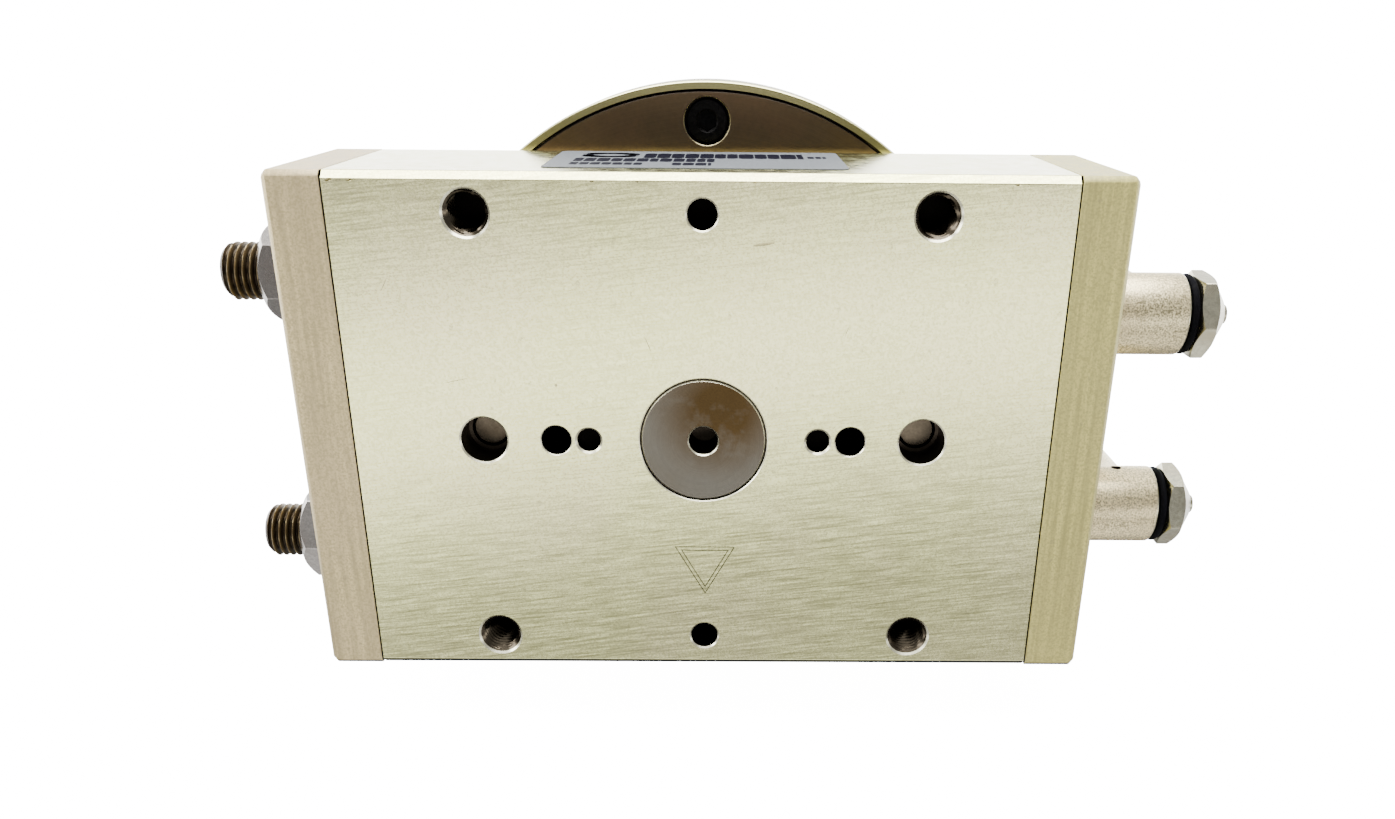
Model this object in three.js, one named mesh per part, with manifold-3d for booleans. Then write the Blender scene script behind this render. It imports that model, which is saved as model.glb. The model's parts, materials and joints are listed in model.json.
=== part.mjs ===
// Rotary pneumatic actuator: a block body with two round rack pistons that turn one pinion shaft.
// Millimetres, +Z up. X runs along the pistons, Y along the output axis.
// The origin is the centre of the output face; the mounting face looks toward -Y.
import * as THREE from "three";
import { mergeVertices } from "three/addons/utils/BufferGeometryUtils.js";
import { ConvexGeometry } from "three/addons/geometries/ConvexGeometry.js";
import Module from "manifold-3d";

const wasm = await Module();
wasm.setup();

// Driving dimensions. Depths (names with DEPTH or _Y) are measured from the mounting face along +Y.
// The two turns are how far, in degrees, each hexagon came to rest past square when it was tightened.
const BODY_HALF_LENGTH = 69.2;
const BODY_HALF_HEIGHT = 50.8;
const BODY_DEPTH = 44.4;
const BODY_CHAMFER = 1.45;
const MID_DEPTH = BODY_DEPTH / 2;
const REST_GAP = 0.3;

const PLATE_GAP = 0.25;
const PLATE_THICKNESS = 10.75;
const PLATE_CHAMFER = 1.0;
const PLATE_INNER_X = BODY_HALF_LENGTH + PLATE_GAP;
const PLATE_OUTER_X = PLATE_INNER_X + PLATE_THICKNESS;
const PLATE_SCREW_PLACES = [-44.2, 44.2].flatMap((z) => [7.0, 37.4].map((y) => ({ y, z })));
const SCREW_POCKET_DEPTH = 5.4;

const HOLE_PITCH = 43.5;
const BORE_OFFSET = 28.7;
const BORE_RADIUS = 16;
const CAVITY_RADIUS = 18.8;
const LIP_THICKNESS = 1.2;

const GEAR_MODULE = 1.5;
const PINION_TEETH = 20;
const PITCH_RADIUS = (GEAR_MODULE * PINION_TEETH) / 2;
const PRESSURE_ANGLE = THREE.MathUtils.degToRad(20);
const FACE_WIDTH = 18;
const TOOTH_BACKLASH = 0.25;
const TIP_CLEARANCE = 0.45;

const SHAFT_RADIUS = 12.46;
const SHAFT_SHOULDER_RADIUS = 13.9;
const SHAFT_END_Y = 47.2;
const BEARING_WIDTH = 7;
const BEARING_OUTER_RADIUS = 18.4;
const REAR_BEARING_Y = LIP_THICKNESS + REST_GAP;
const FRONT_BEARING_Y = 34.9;
const CIRCLIP_Y = FRONT_BEARING_Y + BEARING_WIDTH + REST_GAP;
const CIRCLIP_THICKNESS = 1.2;

const FLANGE_Y = 45.2;
const FLANGE_THICKNESS = 8;
const FLANGE_RADIUS = 62.9;
const TABLE_RADIUS = 64.9;
const TABLE_THICKNESS = 14.2;
const TABLE_RECESS_RADIUS = FLANGE_RADIUS + 0.4;
const OUTPUT_Y = FLANGE_Y + TABLE_THICKNESS;
const TABLE_SCREW_CIRCLE = 56.85;
const TOOL_HOLE_CIRCLE = 45;
const DRIVE_PIN_OFFSET = 8.8;

const RACK_HALF_LENGTH = 42.5;
const RACK_RADIUS = 15.5;
const RACK_GAPS_EACH_SIDE = 7;
const SEAL_X = 39.3;
const SEAL_WIDTH = 2.4;

const STOP_RADIUS = 5.85;
const STOP_TIP_X = 66.3;
const STOP_END_X = 97.6;
const NUT_ACROSS_FLATS = 18;
const NUT_THICKNESS = 6.6;
const NUT_TURN = { upper: 9, lower: 29 };

const PORT_OFFSET = 21.25;
const BARREL_RADIUS = 8.4;
const BARREL_LENGTH = 16.35;
const BARREL_FOOT_X = PLATE_OUTER_X + 2.3;
const BOLT_ACROSS_FLATS = 16;
const BOLT_HEAD_X = BARREL_LENGTH + 1.95;
const BOLT_HEAD_THICKNESS = 3.9;
const BOLT_TURN = { upper: 23, lower: 15 };
const ARM_RADIUS = 6;
const ARM_FROM_FOOT = 8.9;
const ARM_END_Y = 46.5;
const TUBE_RADIUS = 3.1;

// Facets of a full circle. A hexagon's chamfers need a multiple of six.
const LARGE_ROUND = 40;
const ROUND = 28;
const SMALL_ROUND = 16;
const DRILL_ROUND = 10;
const RING_ROUND = 20;
const HEXAGON_ROUND = 18;

const MATERIALS = {
  body: { color: 0xc3c0b4, roughness: 0.42, metalness: 0.7 },
  stopPlate: { color: 0xb9ada0, roughness: 0.45, metalness: 0.7 },
  portPlate: { color: 0xb4ab84, roughness: 0.45, metalness: 0.7 },
  table: { color: 0x8d8a62, roughness: 0.4, metalness: 0.7 },
  flange: { color: 0x4c453f, roughness: 0.5, metalness: 0.7 },
  shaftSteel: { color: 0x8a8076, roughness: 0.35, metalness: 0.9 },
  brightSteel: { color: 0xb8b8b8, roughness: 0.25, metalness: 0.95 },
  blackSteel: { color: 0x151515, roughness: 0.45, metalness: 0.6 },
  bronze: { color: 0x5c4734, roughness: 0.4, metalness: 0.8 },
  nickel: { color: 0xc2bdb2, roughness: 0.4, metalness: 0.9 },
  rubber: { color: 0x0c0c10, roughness: 0.7, metalness: 0.0 },
  seal: { color: 0x2d3a2d, roughness: 0.6, metalness: 0.0 },
  collet: { color: 0x26262a, roughness: 0.5, metalness: 0.0 },
  label: { color: 0xd5d9df, roughness: 0.5, metalness: 0.2 },
};
const sharedMaterials = new Map();

function material(name) {
  if (!sharedMaterials.has(name)) {
    sharedMaterials.set(name, new THREE.MeshStandardMaterial(MATERIALS[name]));
  }
  return sharedMaterials.get(name);
}

// ---- solids -------------------------------------------------------------------------------------

function signedVolume(positions, triangles) {
  const [a, b, c] = [new THREE.Vector3(), new THREE.Vector3(), new THREE.Vector3()];
  let sum = 0;
  for (let i = 0; i < triangles.length; i += 3) {
    a.fromArray(positions, 3 * triangles[i]);
    b.fromArray(positions, 3 * triangles[i + 1]);
    c.fromArray(positions, 3 * triangles[i + 2]);
    sum += a.dot(b.cross(c)) / 6;
  }
  return sum;
}

// A closed three.js geometry as a manifold solid, with its faces turned outward.
function solid(geometry) {
  const bare = new THREE.BufferGeometry();
  bare.setAttribute("position", geometry.getAttribute("position"));
  if (geometry.index) bare.setIndex(geometry.index);
  const merged = mergeVertices(bare, 1e-4);
  const positions = merged.getAttribute("position").array;
  const kept = [];
  for (let i = 0; i < merged.index.count; i += 3) {
    const [a, b, c] = [merged.index.getX(i), merged.index.getX(i + 1), merged.index.getX(i + 2)];
    if (a !== b && b !== c && c !== a) kept.push(a, b, c);
  }
  if (signedVolume(positions, kept) < 0) kept.reverse();
  const mesh = new wasm.Mesh({
    numProp: 3,
    vertProperties: new Float32Array(positions),
    triVerts: new Uint32Array(kept),
  });
  return new wasm.Manifold(mesh);
}

function cut(base, ...tools) {
  return tools.reduce((rest, tool) => rest.subtract(tool), base);
}

function join(base, ...others) {
  return others.reduce((sum, other) => sum.add(other), base);
}

function toGeometry(manifold) {
  const mesh = manifold.getMesh();
  const geometry = new THREE.BufferGeometry();
  geometry.setAttribute("position", new THREE.BufferAttribute(Float32Array.from(mesh.vertProperties), 3));
  geometry.setIndex(new THREE.BufferAttribute(Uint32Array.from(mesh.triVerts), 1));
  geometry.computeVertexNormals();
  return geometry;
}

// A solid turned about an axis line. The profile is a list of [radius, distance along the axis].
function turned(axis, profile, segments = ROUND) {
  const points = profile.map(([radius, along]) => new THREE.Vector2(radius, along));
  const geometry = new THREE.LatheGeometry(points, segments);
  if (axis === "x") geometry.rotateZ(-Math.PI / 2);
  if (axis === "z") geometry.rotateX(Math.PI / 2);
  return geometry;
}

function rod(axis, radius, from, to, segments = SMALL_ROUND) {
  return turned(axis, [[0, from], [radius, from], [radius, to], [0, to]], segments);
}

function ring(axis, inner, outer, from, to, segments = ROUND) {
  return turned(axis, [[inner, from], [outer, from], [outer, to], [inner, to], [inner, from]], segments);
}

function at(geometry, x = 0, y = 0, z = 0) {
  return solid(geometry.translate(x, y, z));
}

function block(x0, x1, y0, y1, z0, z1) {
  return at(new THREE.BoxGeometry(x1 - x0, y1 - y0, z1 - z0), (x0 + x1) / 2, (y0 + y1) / 2, (z0 + z1) / 2);
}

// A drilled hole that enters the mounting face, with a small chamfer at its mouth.
function faceHole(radius, depth, x, z, chamfer = 0.5, segments = SMALL_ROUND) {
  const profile = [[0, -1], [radius + chamfer + 1, -1], [radius, chamfer], [radius, depth], [0, depth]];
  return at(turned("y", profile, segments), x, 0, z);
}

function hexPrism(acrossFlats, from, to) {
  const corner = acrossFlats / 2 / Math.cos(Math.PI / 6);
  return rod("x", corner, from, to, 6);
}

// A hexagon along X with its corners chamfered at both ends, more deeply at the outer end if asked.
function chamferedHex(acrossFlats, from, to, outerAngle = Math.PI / 6) {
  const faceRadius = acrossFlats * 0.485;
  const corner = acrossFlats / 2 / Math.cos(Math.PI / 6) + 0.01;
  const profile = [
    [0, from],
    [faceRadius, from],
    [corner, from + (corner - faceRadius) * Math.tan(Math.PI / 6)],
    [corner, to - (corner - faceRadius) * Math.tan(outerAngle)],
    [faceRadius, to],
    [0, to],
  ];
  return solid(hexPrism(acrossFlats, from, to)).intersect(solid(turned("x", profile, HEXAGON_ROUND)));
}

// ---- body and end plates ------------------------------------------------------------------------

// The outline in Y and Z that the block and both end plates share, as an eight-cornered list.
function blockCorners(x, inset, chamfer) {
  const [low, high] = [inset, BODY_DEPTH - inset];
  const half = BODY_HALF_HEIGHT - inset;
  const corners = [];
  for (const [y, towardY] of [[low, 1], [high, -1]]) {
    for (const side of [-1, 1]) {
      corners.push(new THREE.Vector3(x, y, side * (half - chamfer)));
      corners.push(new THREE.Vector3(x, y + towardY * chamfer, side * half));
    }
  }
  return corners;
}

function bodyBlock() {
  const ends = [-BODY_HALF_LENGTH, BODY_HALF_LENGTH];
  let body = solid(new ConvexGeometry(ends.flatMap((x) => blockCorners(x, 0, BODY_CHAMFER))));
  const reach = BODY_HALF_LENGTH + 1;
  for (const side of [-1, 1]) {
    body = cut(body, at(rod("x", BORE_RADIUS, -reach, reach, ROUND), 0, MID_DEPTH, side * BORE_OFFSET));
  }
  const lipHoleRadius = SHAFT_RADIUS + 0.5;
  const circlipGroove = CAVITY_RADIUS + 1.1;
  body = cut(
    body,
    solid(rod("y", CAVITY_RADIUS, LIP_THICKNESS, BODY_DEPTH + 1, ROUND)),
    solid(rod("y", lipHoleRadius, -1, LIP_THICKNESS + 1, ROUND)),
    solid(rod("y", circlipGroove, CIRCLIP_Y - 0.2, CIRCLIP_Y + CIRCLIP_THICKNESS + 0.2, ROUND)),
  );
  for (const x of [-HOLE_PITCH, HOLE_PITCH]) {
    for (const z of [-HOLE_PITCH, HOLE_PITCH]) body = cut(body, faceHole(4.1, 9.6, x, z));
    body = cut(body, faceHole(4.6, 8, x, 0, 0.3), at(rod("y", 3.9, 0, 14.2, DRILL_ROUND), x, 0, 0));
  }
  for (const side of [-1, 1]) {
    body = cut(
      body,
      faceHole(2.85, 9, 0, side * HOLE_PITCH, 0.3, DRILL_ROUND),
      faceHole(3.0, 12, side * 29.2, 0, 0.2, DRILL_ROUND),
      faceHole(2.35, 4.5, side * 22.75, 0, 0.2, DRILL_ROUND),
    );
  }
  for (const { y, z } of PLATE_SCREW_PLACES) {
    const [deep, mouth] = [BODY_HALF_LENGTH - 14, BODY_HALF_LENGTH + 1];
    body = cut(
      body,
      at(rod("x", 2.8, deep, mouth, DRILL_ROUND), 0, y, z),
      at(rod("x", 2.8, -mouth, -deep, DRILL_ROUND), 0, y, z),
    );
  }
  return toGeometry(body);
}

// An end plate built for the +X end, with two holes for its fittings at the given offset in Z.
function endPlate(fittingRadius, fittingOffset) {
  const inner = blockCorners(PLATE_INNER_X, 0, PLATE_CHAMFER);
  const shoulder = blockCorners(PLATE_OUTER_X - PLATE_CHAMFER, 0, PLATE_CHAMFER);
  const outer = blockCorners(PLATE_OUTER_X, PLATE_CHAMFER, PLATE_CHAMFER / 2);
  let plate = solid(new ConvexGeometry([...inner, ...shoulder, ...outer]));
  for (const side of [-1, 1]) {
    const bore = side * BORE_OFFSET;
    plate = cut(
      plate,
      at(ring("x", 16.5, 18.5, PLATE_INNER_X - 1, PLATE_INNER_X + 1.7, ROUND), 0, MID_DEPTH, bore),
      at(rod("x", fittingRadius, PLATE_INNER_X - 1, PLATE_OUTER_X + 1), 0, MID_DEPTH, side * fittingOffset),
    );
  }
  for (const { y, z } of PLATE_SCREW_PLACES) {
    plate = cut(
      plate,
      at(rod("x", 2.8, PLATE_INNER_X - 1, PLATE_OUTER_X, DRILL_ROUND), 0, y, z),
      at(rod("x", 4.75, PLATE_OUTER_X - SCREW_POCKET_DEPTH, PLATE_OUTER_X + 1), 0, y, z),
    );
  }
  return toGeometry(plate);
}

// A socket head cap screw along X, its head's outer face at 0 and its shank toward -X.
function capScrew(headRadius, headHeight, shankRadius, shankLength, keyFlats) {
  const profile = [
    [0, 0],
    [headRadius - 0.4, 0],
    [headRadius, -0.4],
    [headRadius, -headHeight],
    [shankRadius, -headHeight],
    [shankRadius, -headHeight - shankLength],
    [0, -headHeight - shankLength],
  ];
  const screw = solid(turned("x", profile, DRILL_ROUND));
  return toGeometry(cut(screw, solid(hexPrism(keyFlats, -headHeight * 0.55, 1))));
}

// A face seal in an end plate's groove, centred on X = 0.
function boreSeal() {
  const section = 0.8;
  const profile = [];
  const sides = 5;
  for (let i = 0; i <= sides; i += 1) {
    const angle = (i / sides) * 2 * Math.PI;
    profile.push([17.5 + section * Math.cos(angle), section * Math.sin(angle)]);
  }
  return toGeometry(solid(turned("x", profile, RING_ROUND)));
}

// ---- shaft, bearings and racks ------------------------------------------------------------------

// Points of one pinion tooth side, from its root to its tip, as [radius, angle from the tooth's middle].
function toothSide() {
  const base = PITCH_RADIUS * Math.cos(PRESSURE_ANGLE);
  const tip = PITCH_RADIUS + GEAR_MODULE - 0.1;
  const root = PITCH_RADIUS - GEAR_MODULE - TIP_CLEARANCE;
  const involute = (radius) => {
    const slope = Math.acos(Math.min(1, base / radius));
    return Math.tan(slope) - slope;
  };
  const halfTooth = (Math.PI * GEAR_MODULE) / 4 - TOOTH_BACKLASH / 4;
  const middle = halfTooth / PITCH_RADIUS + involute(PITCH_RADIUS);
  const points = [[root, middle + 0.01]];
  const steps = 2;
  for (let i = 0; i <= steps; i += 1) {
    const radius = base + ((tip - base) * i) / steps;
    points.push([radius, middle - involute(radius)]);
  }
  return points;
}

function pinionTeeth() {
  const side = toothSide();
  const outline = [];
  for (let tooth = 0; tooth < PINION_TEETH; tooth += 1) {
    const centre = (tooth / PINION_TEETH) * 2 * Math.PI;
    for (const [radius, angle] of side) outline.push([radius, centre - angle]);
    for (const [radius, angle] of [...side].reverse()) outline.push([radius, centre + angle]);
  }
  const corners = outline.map(([r, a]) => new THREE.Vector2(r * Math.sin(a), r * Math.cos(a)));
  const shape = new THREE.Shape(corners);
  const geometry = new THREE.ExtrudeGeometry(shape, { depth: FACE_WIDTH, bevelEnabled: false });
  geometry.rotateX(Math.PI / 2);
  return at(geometry, 0, MID_DEPTH + FACE_WIDTH / 2, 0);
}

function pinionShaft() {
  const rearShoulder = REAR_BEARING_Y + BEARING_WIDTH + REST_GAP;
  const frontShoulder = FRONT_BEARING_Y - REST_GAP;
  const profile = [
    [0, 10],
    [2.9, 10],
    [2.9, 0.15],
    [SHAFT_RADIUS - 0.35, 0.15],
    [SHAFT_RADIUS, 0.5],
    [SHAFT_RADIUS, rearShoulder],
    [SHAFT_SHOULDER_RADIUS, rearShoulder],
    [SHAFT_SHOULDER_RADIUS, MID_DEPTH - FACE_WIDTH / 2],
    [12.8, MID_DEPTH],
    [SHAFT_SHOULDER_RADIUS, MID_DEPTH + FACE_WIDTH / 2],
    [SHAFT_SHOULDER_RADIUS, frontShoulder],
    [SHAFT_RADIUS, frontShoulder],
    [SHAFT_RADIUS, SHAFT_END_Y],
    [3.3, SHAFT_END_Y],
    [3.3, 34],
    [0, 34],
  ];
  let shaft = join(solid(turned("y", profile, ROUND)), pinionTeeth());
  for (const x of [-DRIVE_PIN_OFFSET, DRIVE_PIN_OFFSET]) {
    shaft = cut(shaft, at(rod("y", 2.3, 39.7, SHAFT_END_Y + 1, DRILL_ROUND), x, 0, 0));
  }
  return toGeometry(shaft);
}

function bearingRace(inner, outer, grooveSide) {
  const middle = [(grooveSide < 0 ? outer : inner) + grooveSide * 0.6, BEARING_WIDTH / 2];
  const corners = [[inner, 0], [outer, 0], [outer, BEARING_WIDTH], [inner, BEARING_WIDTH]];
  corners.splice(grooveSide < 0 ? 2 : 4, 0, middle);
  return toGeometry(solid(turned("y", [...corners, corners[0]], RING_ROUND)));
}

// Bearing balls held in their cage ring, centred on Y = 0.
function ballSet() {
  const pitch = 15.75;
  const balls = 8;
  let set = solid(ring("y", pitch - 0.45, pitch + 0.45, -1.5, 1.5, RING_ROUND));
  for (let i = 0; i < balls; i += 1) {
    const angle = ((i + 0.5) / balls) * 2 * Math.PI;
    const ball = new THREE.SphereGeometry(1.15, 5, 4);
    set = join(set, at(ball, pitch * Math.cos(angle), 0, pitch * Math.sin(angle)));
  }
  return toGeometry(set);
}

// An open spring ring that snaps into the groove in the body.
function bearingCirclip() {
  const [inner, outer] = [16.0, CAVITY_RADIUS + 0.7];
  const [start, end] = [-Math.PI / 2 + 0.28, 1.5 * Math.PI - 0.28];
  const shape = new THREE.Shape();
  shape.absarc(0, 0, outer, start, end, false);
  shape.absarc(0, 0, inner, end, start, true);
  const settings = { depth: CIRCLIP_THICKNESS, bevelEnabled: false, curveSegments: 14 };
  const geometry = new THREE.ExtrudeGeometry(shape, settings);
  geometry.rotateX(Math.PI / 2);
  return toGeometry(at(geometry, 0, CIRCLIP_THICKNESS, 0));
}

// One rack piston: a round bar with a head at each end and teeth cut into its lower side.
// The bar's centre line is X; the pinion lies toward -Z at the distance of the bore offset.
function rackPiston() {
  const grooveHalf = SEAL_WIDTH / 2 + 0.2;
  const profile = [[0, -RACK_HALF_LENGTH], [RACK_RADIUS - 0.6, -RACK_HALF_LENGTH]];
  profile.push([RACK_RADIUS, -RACK_HALF_LENGTH + 0.6]);
  profile.push([RACK_RADIUS, -SEAL_X - grooveHalf], [12.9, -SEAL_X - grooveHalf]);
  profile.push([12.9, -SEAL_X + grooveHalf], [RACK_RADIUS, -SEAL_X + grooveHalf]);
  const mirrored = profile.map(([radius, along]) => [radius, -along]).reverse();
  let rack = solid(turned("x", [...profile, ...mirrored], ROUND));

  const pitch = Math.PI * GEAR_MODULE;
  const pitchZ = PITCH_RADIUS - BORE_OFFSET;
  const tipZ = pitchZ - GEAR_MODULE + 0.1;
  const rootZ = pitchZ + GEAR_MODULE + TIP_CLEARANCE;
  const slope = Math.tan(PRESSURE_ANGLE);
  const halfGap = (z) => pitch / 4 + TOOTH_BACKLASH / 2 + (pitchZ - z) * slope;
  const lowZ = tipZ - 1;
  const reach = RACK_GAPS_EACH_SIDE * pitch + halfGap(tipZ);
  rack = cut(rack, block(-reach, reach, -20, 20, -20, tipZ));
  for (let i = -RACK_GAPS_EACH_SIDE; i <= RACK_GAPS_EACH_SIDE; i += 1) {
    const x = i * pitch;
    const shape = new THREE.Shape([
      new THREE.Vector2(x - halfGap(lowZ), lowZ),
      new THREE.Vector2(x + halfGap(lowZ), lowZ),
      new THREE.Vector2(x + halfGap(rootZ), rootZ),
      new THREE.Vector2(x - halfGap(rootZ), rootZ),
    ]);
    const gap = new THREE.ExtrudeGeometry(shape, { depth: 40, bevelEnabled: false }).rotateX(Math.PI / 2);
    rack = cut(rack, at(gap, 0, 20, 0));
  }
  return toGeometry(rack);
}

function pistonSeal() {
  const half = SEAL_WIDTH / 2;
  const profile = [[13.2, -half], [15.6, -half], [15.75, 0], [15.6, half], [13.2, half]];
  return toGeometry(solid(turned("x", [...profile, profile[0]], RING_ROUND)));
}

// ---- output flange and table --------------------------------------------------------------------

const TABLE_SCREW_ANGLES = [0, 1, 2, 3].map((quarter) => (quarter * Math.PI) / 2);

function aroundAxis(radius, angle) {
  return [radius * Math.sin(angle), radius * Math.cos(angle)];
}

function outputFlange() {
  const end = FLANGE_Y + FLANGE_THICKNESS;
  const profile = [
    [SHAFT_RADIUS + 0.35, FLANGE_Y],
    [FLANGE_RADIUS - 0.3, FLANGE_Y],
    [FLANGE_RADIUS, FLANGE_Y + 0.3],
    [FLANGE_RADIUS, end],
    [5.5, end],
    [5.5, 49.0],
    [3.4, 49.0],
    [3.4, SHAFT_END_Y + 0.5],
    [SHAFT_RADIUS + 0.35, SHAFT_END_Y + 0.5],
    [SHAFT_RADIUS + 0.35, FLANGE_Y],
  ];
  let flange = solid(turned("y", profile, LARGE_ROUND));
  for (const x of [-DRIVE_PIN_OFFSET, DRIVE_PIN_OFFSET]) {
    flange = cut(flange, at(rod("y", 2.3, SHAFT_END_Y, end + 1, DRILL_ROUND), x, 0, 0));
  }
  for (const angle of TABLE_SCREW_ANGLES) {
    const [x, z] = aroundAxis(TABLE_SCREW_CIRCLE, angle);
    const pocket = [[0, -1], [6.4, -1], [4.9, 0.5], [4.9, 5.6], [2.8, 5.6], [2.8, 9], [0, 9]];
    flange = cut(flange, at(turned("y", pocket, DRILL_ROUND), x, FLANGE_Y, z));
  }
  return toGeometry(flange);
}

function toolingTable() {
  const recess = FLANGE_Y + FLANGE_THICKNESS + REST_GAP;
  const profile = [
    [0, OUTPUT_Y],
    [TABLE_RADIUS - 1, OUTPUT_Y],
    [TABLE_RADIUS, OUTPUT_Y - 1],
    [TABLE_RADIUS, FLANGE_Y + 0.75],
    [TABLE_RADIUS - 0.75, FLANGE_Y],
    [TABLE_RECESS_RADIUS, FLANGE_Y],
    [TABLE_RECESS_RADIUS, recess],
    [0, recess],
  ];
  let table = solid(turned("y", profile, LARGE_ROUND));
  for (const angle of TABLE_SCREW_ANGLES) {
    const [x, z] = aroundAxis(TABLE_SCREW_CIRCLE, angle);
    table = cut(table, at(rod("y", 2.8, recess - 1, recess + 4.6, DRILL_ROUND), x, 0, z));
    const [tapX, tapZ] = aroundAxis(TOOL_HOLE_CIRCLE, angle + Math.PI / 4);
    table = cut(table, at(rod("y", 3.1, OUTPUT_Y - 4.8, OUTPUT_Y + 1, DRILL_ROUND), tapX, 0, tapZ));
  }
  for (const x of [-TOOL_HOLE_CIRCLE, TOOL_HOLE_CIRCLE]) {
    table = cut(table, at(rod("y", 3.0, OUTPUT_Y - 4.8, OUTPUT_Y + 1, DRILL_ROUND), x, 0, 0));
  }
  return toGeometry(table);
}

// ---- stops and flow controls --------------------------------------------------------------------

// A stop screw along +X: its tip meets the rack piston, its far end has a hexagon socket.
function stopScrew() {
  const length = STOP_END_X - STOP_TIP_X;
  const profile = [
    [0, 0],
    [STOP_RADIUS - 1.1, 0],
    [STOP_RADIUS, 1.1],
    [STOP_RADIUS, length - 1.3],
    [STOP_RADIUS - 1.3, length],
    [0, length],
  ];
  const screw = solid(turned("x", profile, SMALL_ROUND));
  return toGeometry(cut(screw, solid(hexPrism(6, length - 5, length + 1))));
}

function stopNut() {
  const nut = chamferedHex(NUT_ACROSS_FLATS, 0, NUT_THICKNESS, Math.PI / 4);
  return toGeometry(cut(nut, solid(rod("x", STOP_RADIUS + 0.35, -1, NUT_THICKNESS + 1))));
}

// The turning elbow body of a flow control, with its arm toward +Y and its barrel's foot at X = 0.
function elbowBody() {
  const barrel = solid(turned("x", [
    [0, 0],
    [BARREL_RADIUS - 0.4, 0],
    [BARREL_RADIUS, 0.4],
    [BARREL_RADIUS, BARREL_LENGTH - 0.5],
    [BARREL_RADIUS - 0.5, BARREL_LENGTH],
    [0, BARREL_LENGTH],
  ], RING_ROUND));
  const armLength = ARM_END_Y - MID_DEPTH;
  const arm = at(turned("y", [
    [0, 0],
    [ARM_RADIUS, 0],
    [ARM_RADIUS, armLength - 0.6],
    [ARM_RADIUS - 0.6, armLength],
    [0, armLength],
  ], RING_ROUND), ARM_FROM_FOOT, 0, 0);
  return toGeometry(cut(
    join(barrel, arm),
    solid(rod("x", 5.6, -1, BARREL_LENGTH + 1)),
    at(rod("y", 5.1, armLength - 9, armLength + 1), ARM_FROM_FOOT, 0, 0),
    at(rod("y", 2.5, 0, armLength), ARM_FROM_FOOT, 0, 0),
  ));
}

// The hollow bolt that fastens a flow control: a threaded shank, and a hexagon head with a conical top.
// X = 0 is the elbow barrel's foot.
function hollowBolt() {
  const shankStart = 70.5 - BARREL_FOOT_X;
  const headEnd = BOLT_HEAD_X + BOLT_HEAD_THICKNESS;
  const shank = solid(rod("x", 5.2, shankStart, BOLT_HEAD_X + 0.5));
  const head = chamferedHex(BOLT_ACROSS_FLATS, BOLT_HEAD_X, headEnd);
  const coneProfile = [
    [0, headEnd - 0.5],
    [7.5, headEnd - 0.5],
    [7.5, headEnd],
    [3.1, headEnd + 2.8],
    [0, headEnd + 2.8],
  ];
  const cone = solid(turned("x", coneProfile, SMALL_ROUND));
  const bore = solid(rod("x", 2.5, shankStart - 1, headEnd + 3, DRILL_ROUND));
  const crossHole = at(rod("y", 1.5, -7, 7, 8), ARM_FROM_FOOT, 0, 0);
  return toGeometry(cut(join(shank, head, cone), bore, crossHole));
}

// The throttling needle inside the hollow bolt, its slotted end standing out of the cone.
function needle() {
  const tip = BOLT_HEAD_X + BOLT_HEAD_THICKNESS + 3.9;
  const profile = [[0, 3], [0.6, 3], [2.1, 9], [2.1, tip - 0.3], [1.8, tip], [0, tip]];
  const body = solid(turned("x", profile, DRILL_ROUND));
  return toGeometry(cut(body, block(tip - 0.7, tip + 1, -0.35, 0.35, -3, 3)));
}

// The push-in release sleeve at the end of an elbow's arm, along +Y from the barrel's axis.
function releaseCollet() {
  const lip = ARM_END_Y - MID_DEPTH + 1.4;
  const profile = [
    [TUBE_RADIUS, lip - 8.9],
    [4.7, lip - 8.9],
    [4.7, lip],
    [5.6, lip],
    [5.6, lip + 0.8],
    [5.2, lip + 1.2],
    [TUBE_RADIUS, lip + 1.2],
    [TUBE_RADIUS, lip - 8.9],
  ];
  return toGeometry(solid(turned("y", profile, SMALL_ROUND)));
}

// ---- assembly -----------------------------------------------------------------------------------

const actuator = new THREE.Group();
actuator.position.y = -OUTPUT_Y;

function add(parent, name, geometry, materialName, x = 0, y = 0, z = 0) {
  const mesh = new THREE.Mesh(geometry, material(materialName));
  mesh.name = name;
  mesh.position.set(x, y, z);
  parent.add(mesh);
  return mesh;
}

const SIDES = [["upper", 1], ["lower", -1]];

function addHousing() {
  add(actuator, "body_block", bodyBlock(), "body");
  add(actuator, "port_end_plate", endPlate(5.5, PORT_OFFSET), "portPlate");
  const stopPlate = endPlate(STOP_RADIUS + 0.35, BORE_OFFSET);
  add(actuator, "stop_end_plate", stopPlate, "stopPlate", 0, BODY_DEPTH, 0).rotation.z = Math.PI;
  const screwHeadX = PLATE_OUTER_X - 0.3;
  for (const [end, turn] of [["port_end", 0], ["stop_end", Math.PI]]) {
    const group = new THREE.Group();
    group.position.y = turn ? BODY_DEPTH : 0;
    group.rotation.z = turn;
    actuator.add(group);
    PLATE_SCREW_PLACES.forEach(({ y, z }, i) => {
      add(group, `${end}_screw_${i + 1}`, capScrew(4.25, 4.8, 2.5, 16, 4), "blackSteel", screwHeadX, y, z);
    });
    for (const [level, side] of SIDES) {
      const z = side * BORE_OFFSET;
      add(group, `${end}_${level}_seal`, boreSeal(), "rubber", PLATE_INNER_X + 0.85, MID_DEPTH, z);
    }
  }
  for (const [level, side] of [["left", -1], ["right", 1]]) {
    const plug = rod("y", 3.55, 8.2, 13.8);
    add(actuator, `${level}_passage_plug`, toGeometry(solid(plug)), "brightSteel", side * HOLE_PITCH, 0, 0);
  }
  const nameplate = toGeometry(block(-28.9, 28.9, -16.8, 16.8, 0, 0.35));
  add(actuator, "nameplate", nameplate, "label", -1.5, 23.9, BODY_HALF_HEIGHT + 0.05);
}

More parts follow.
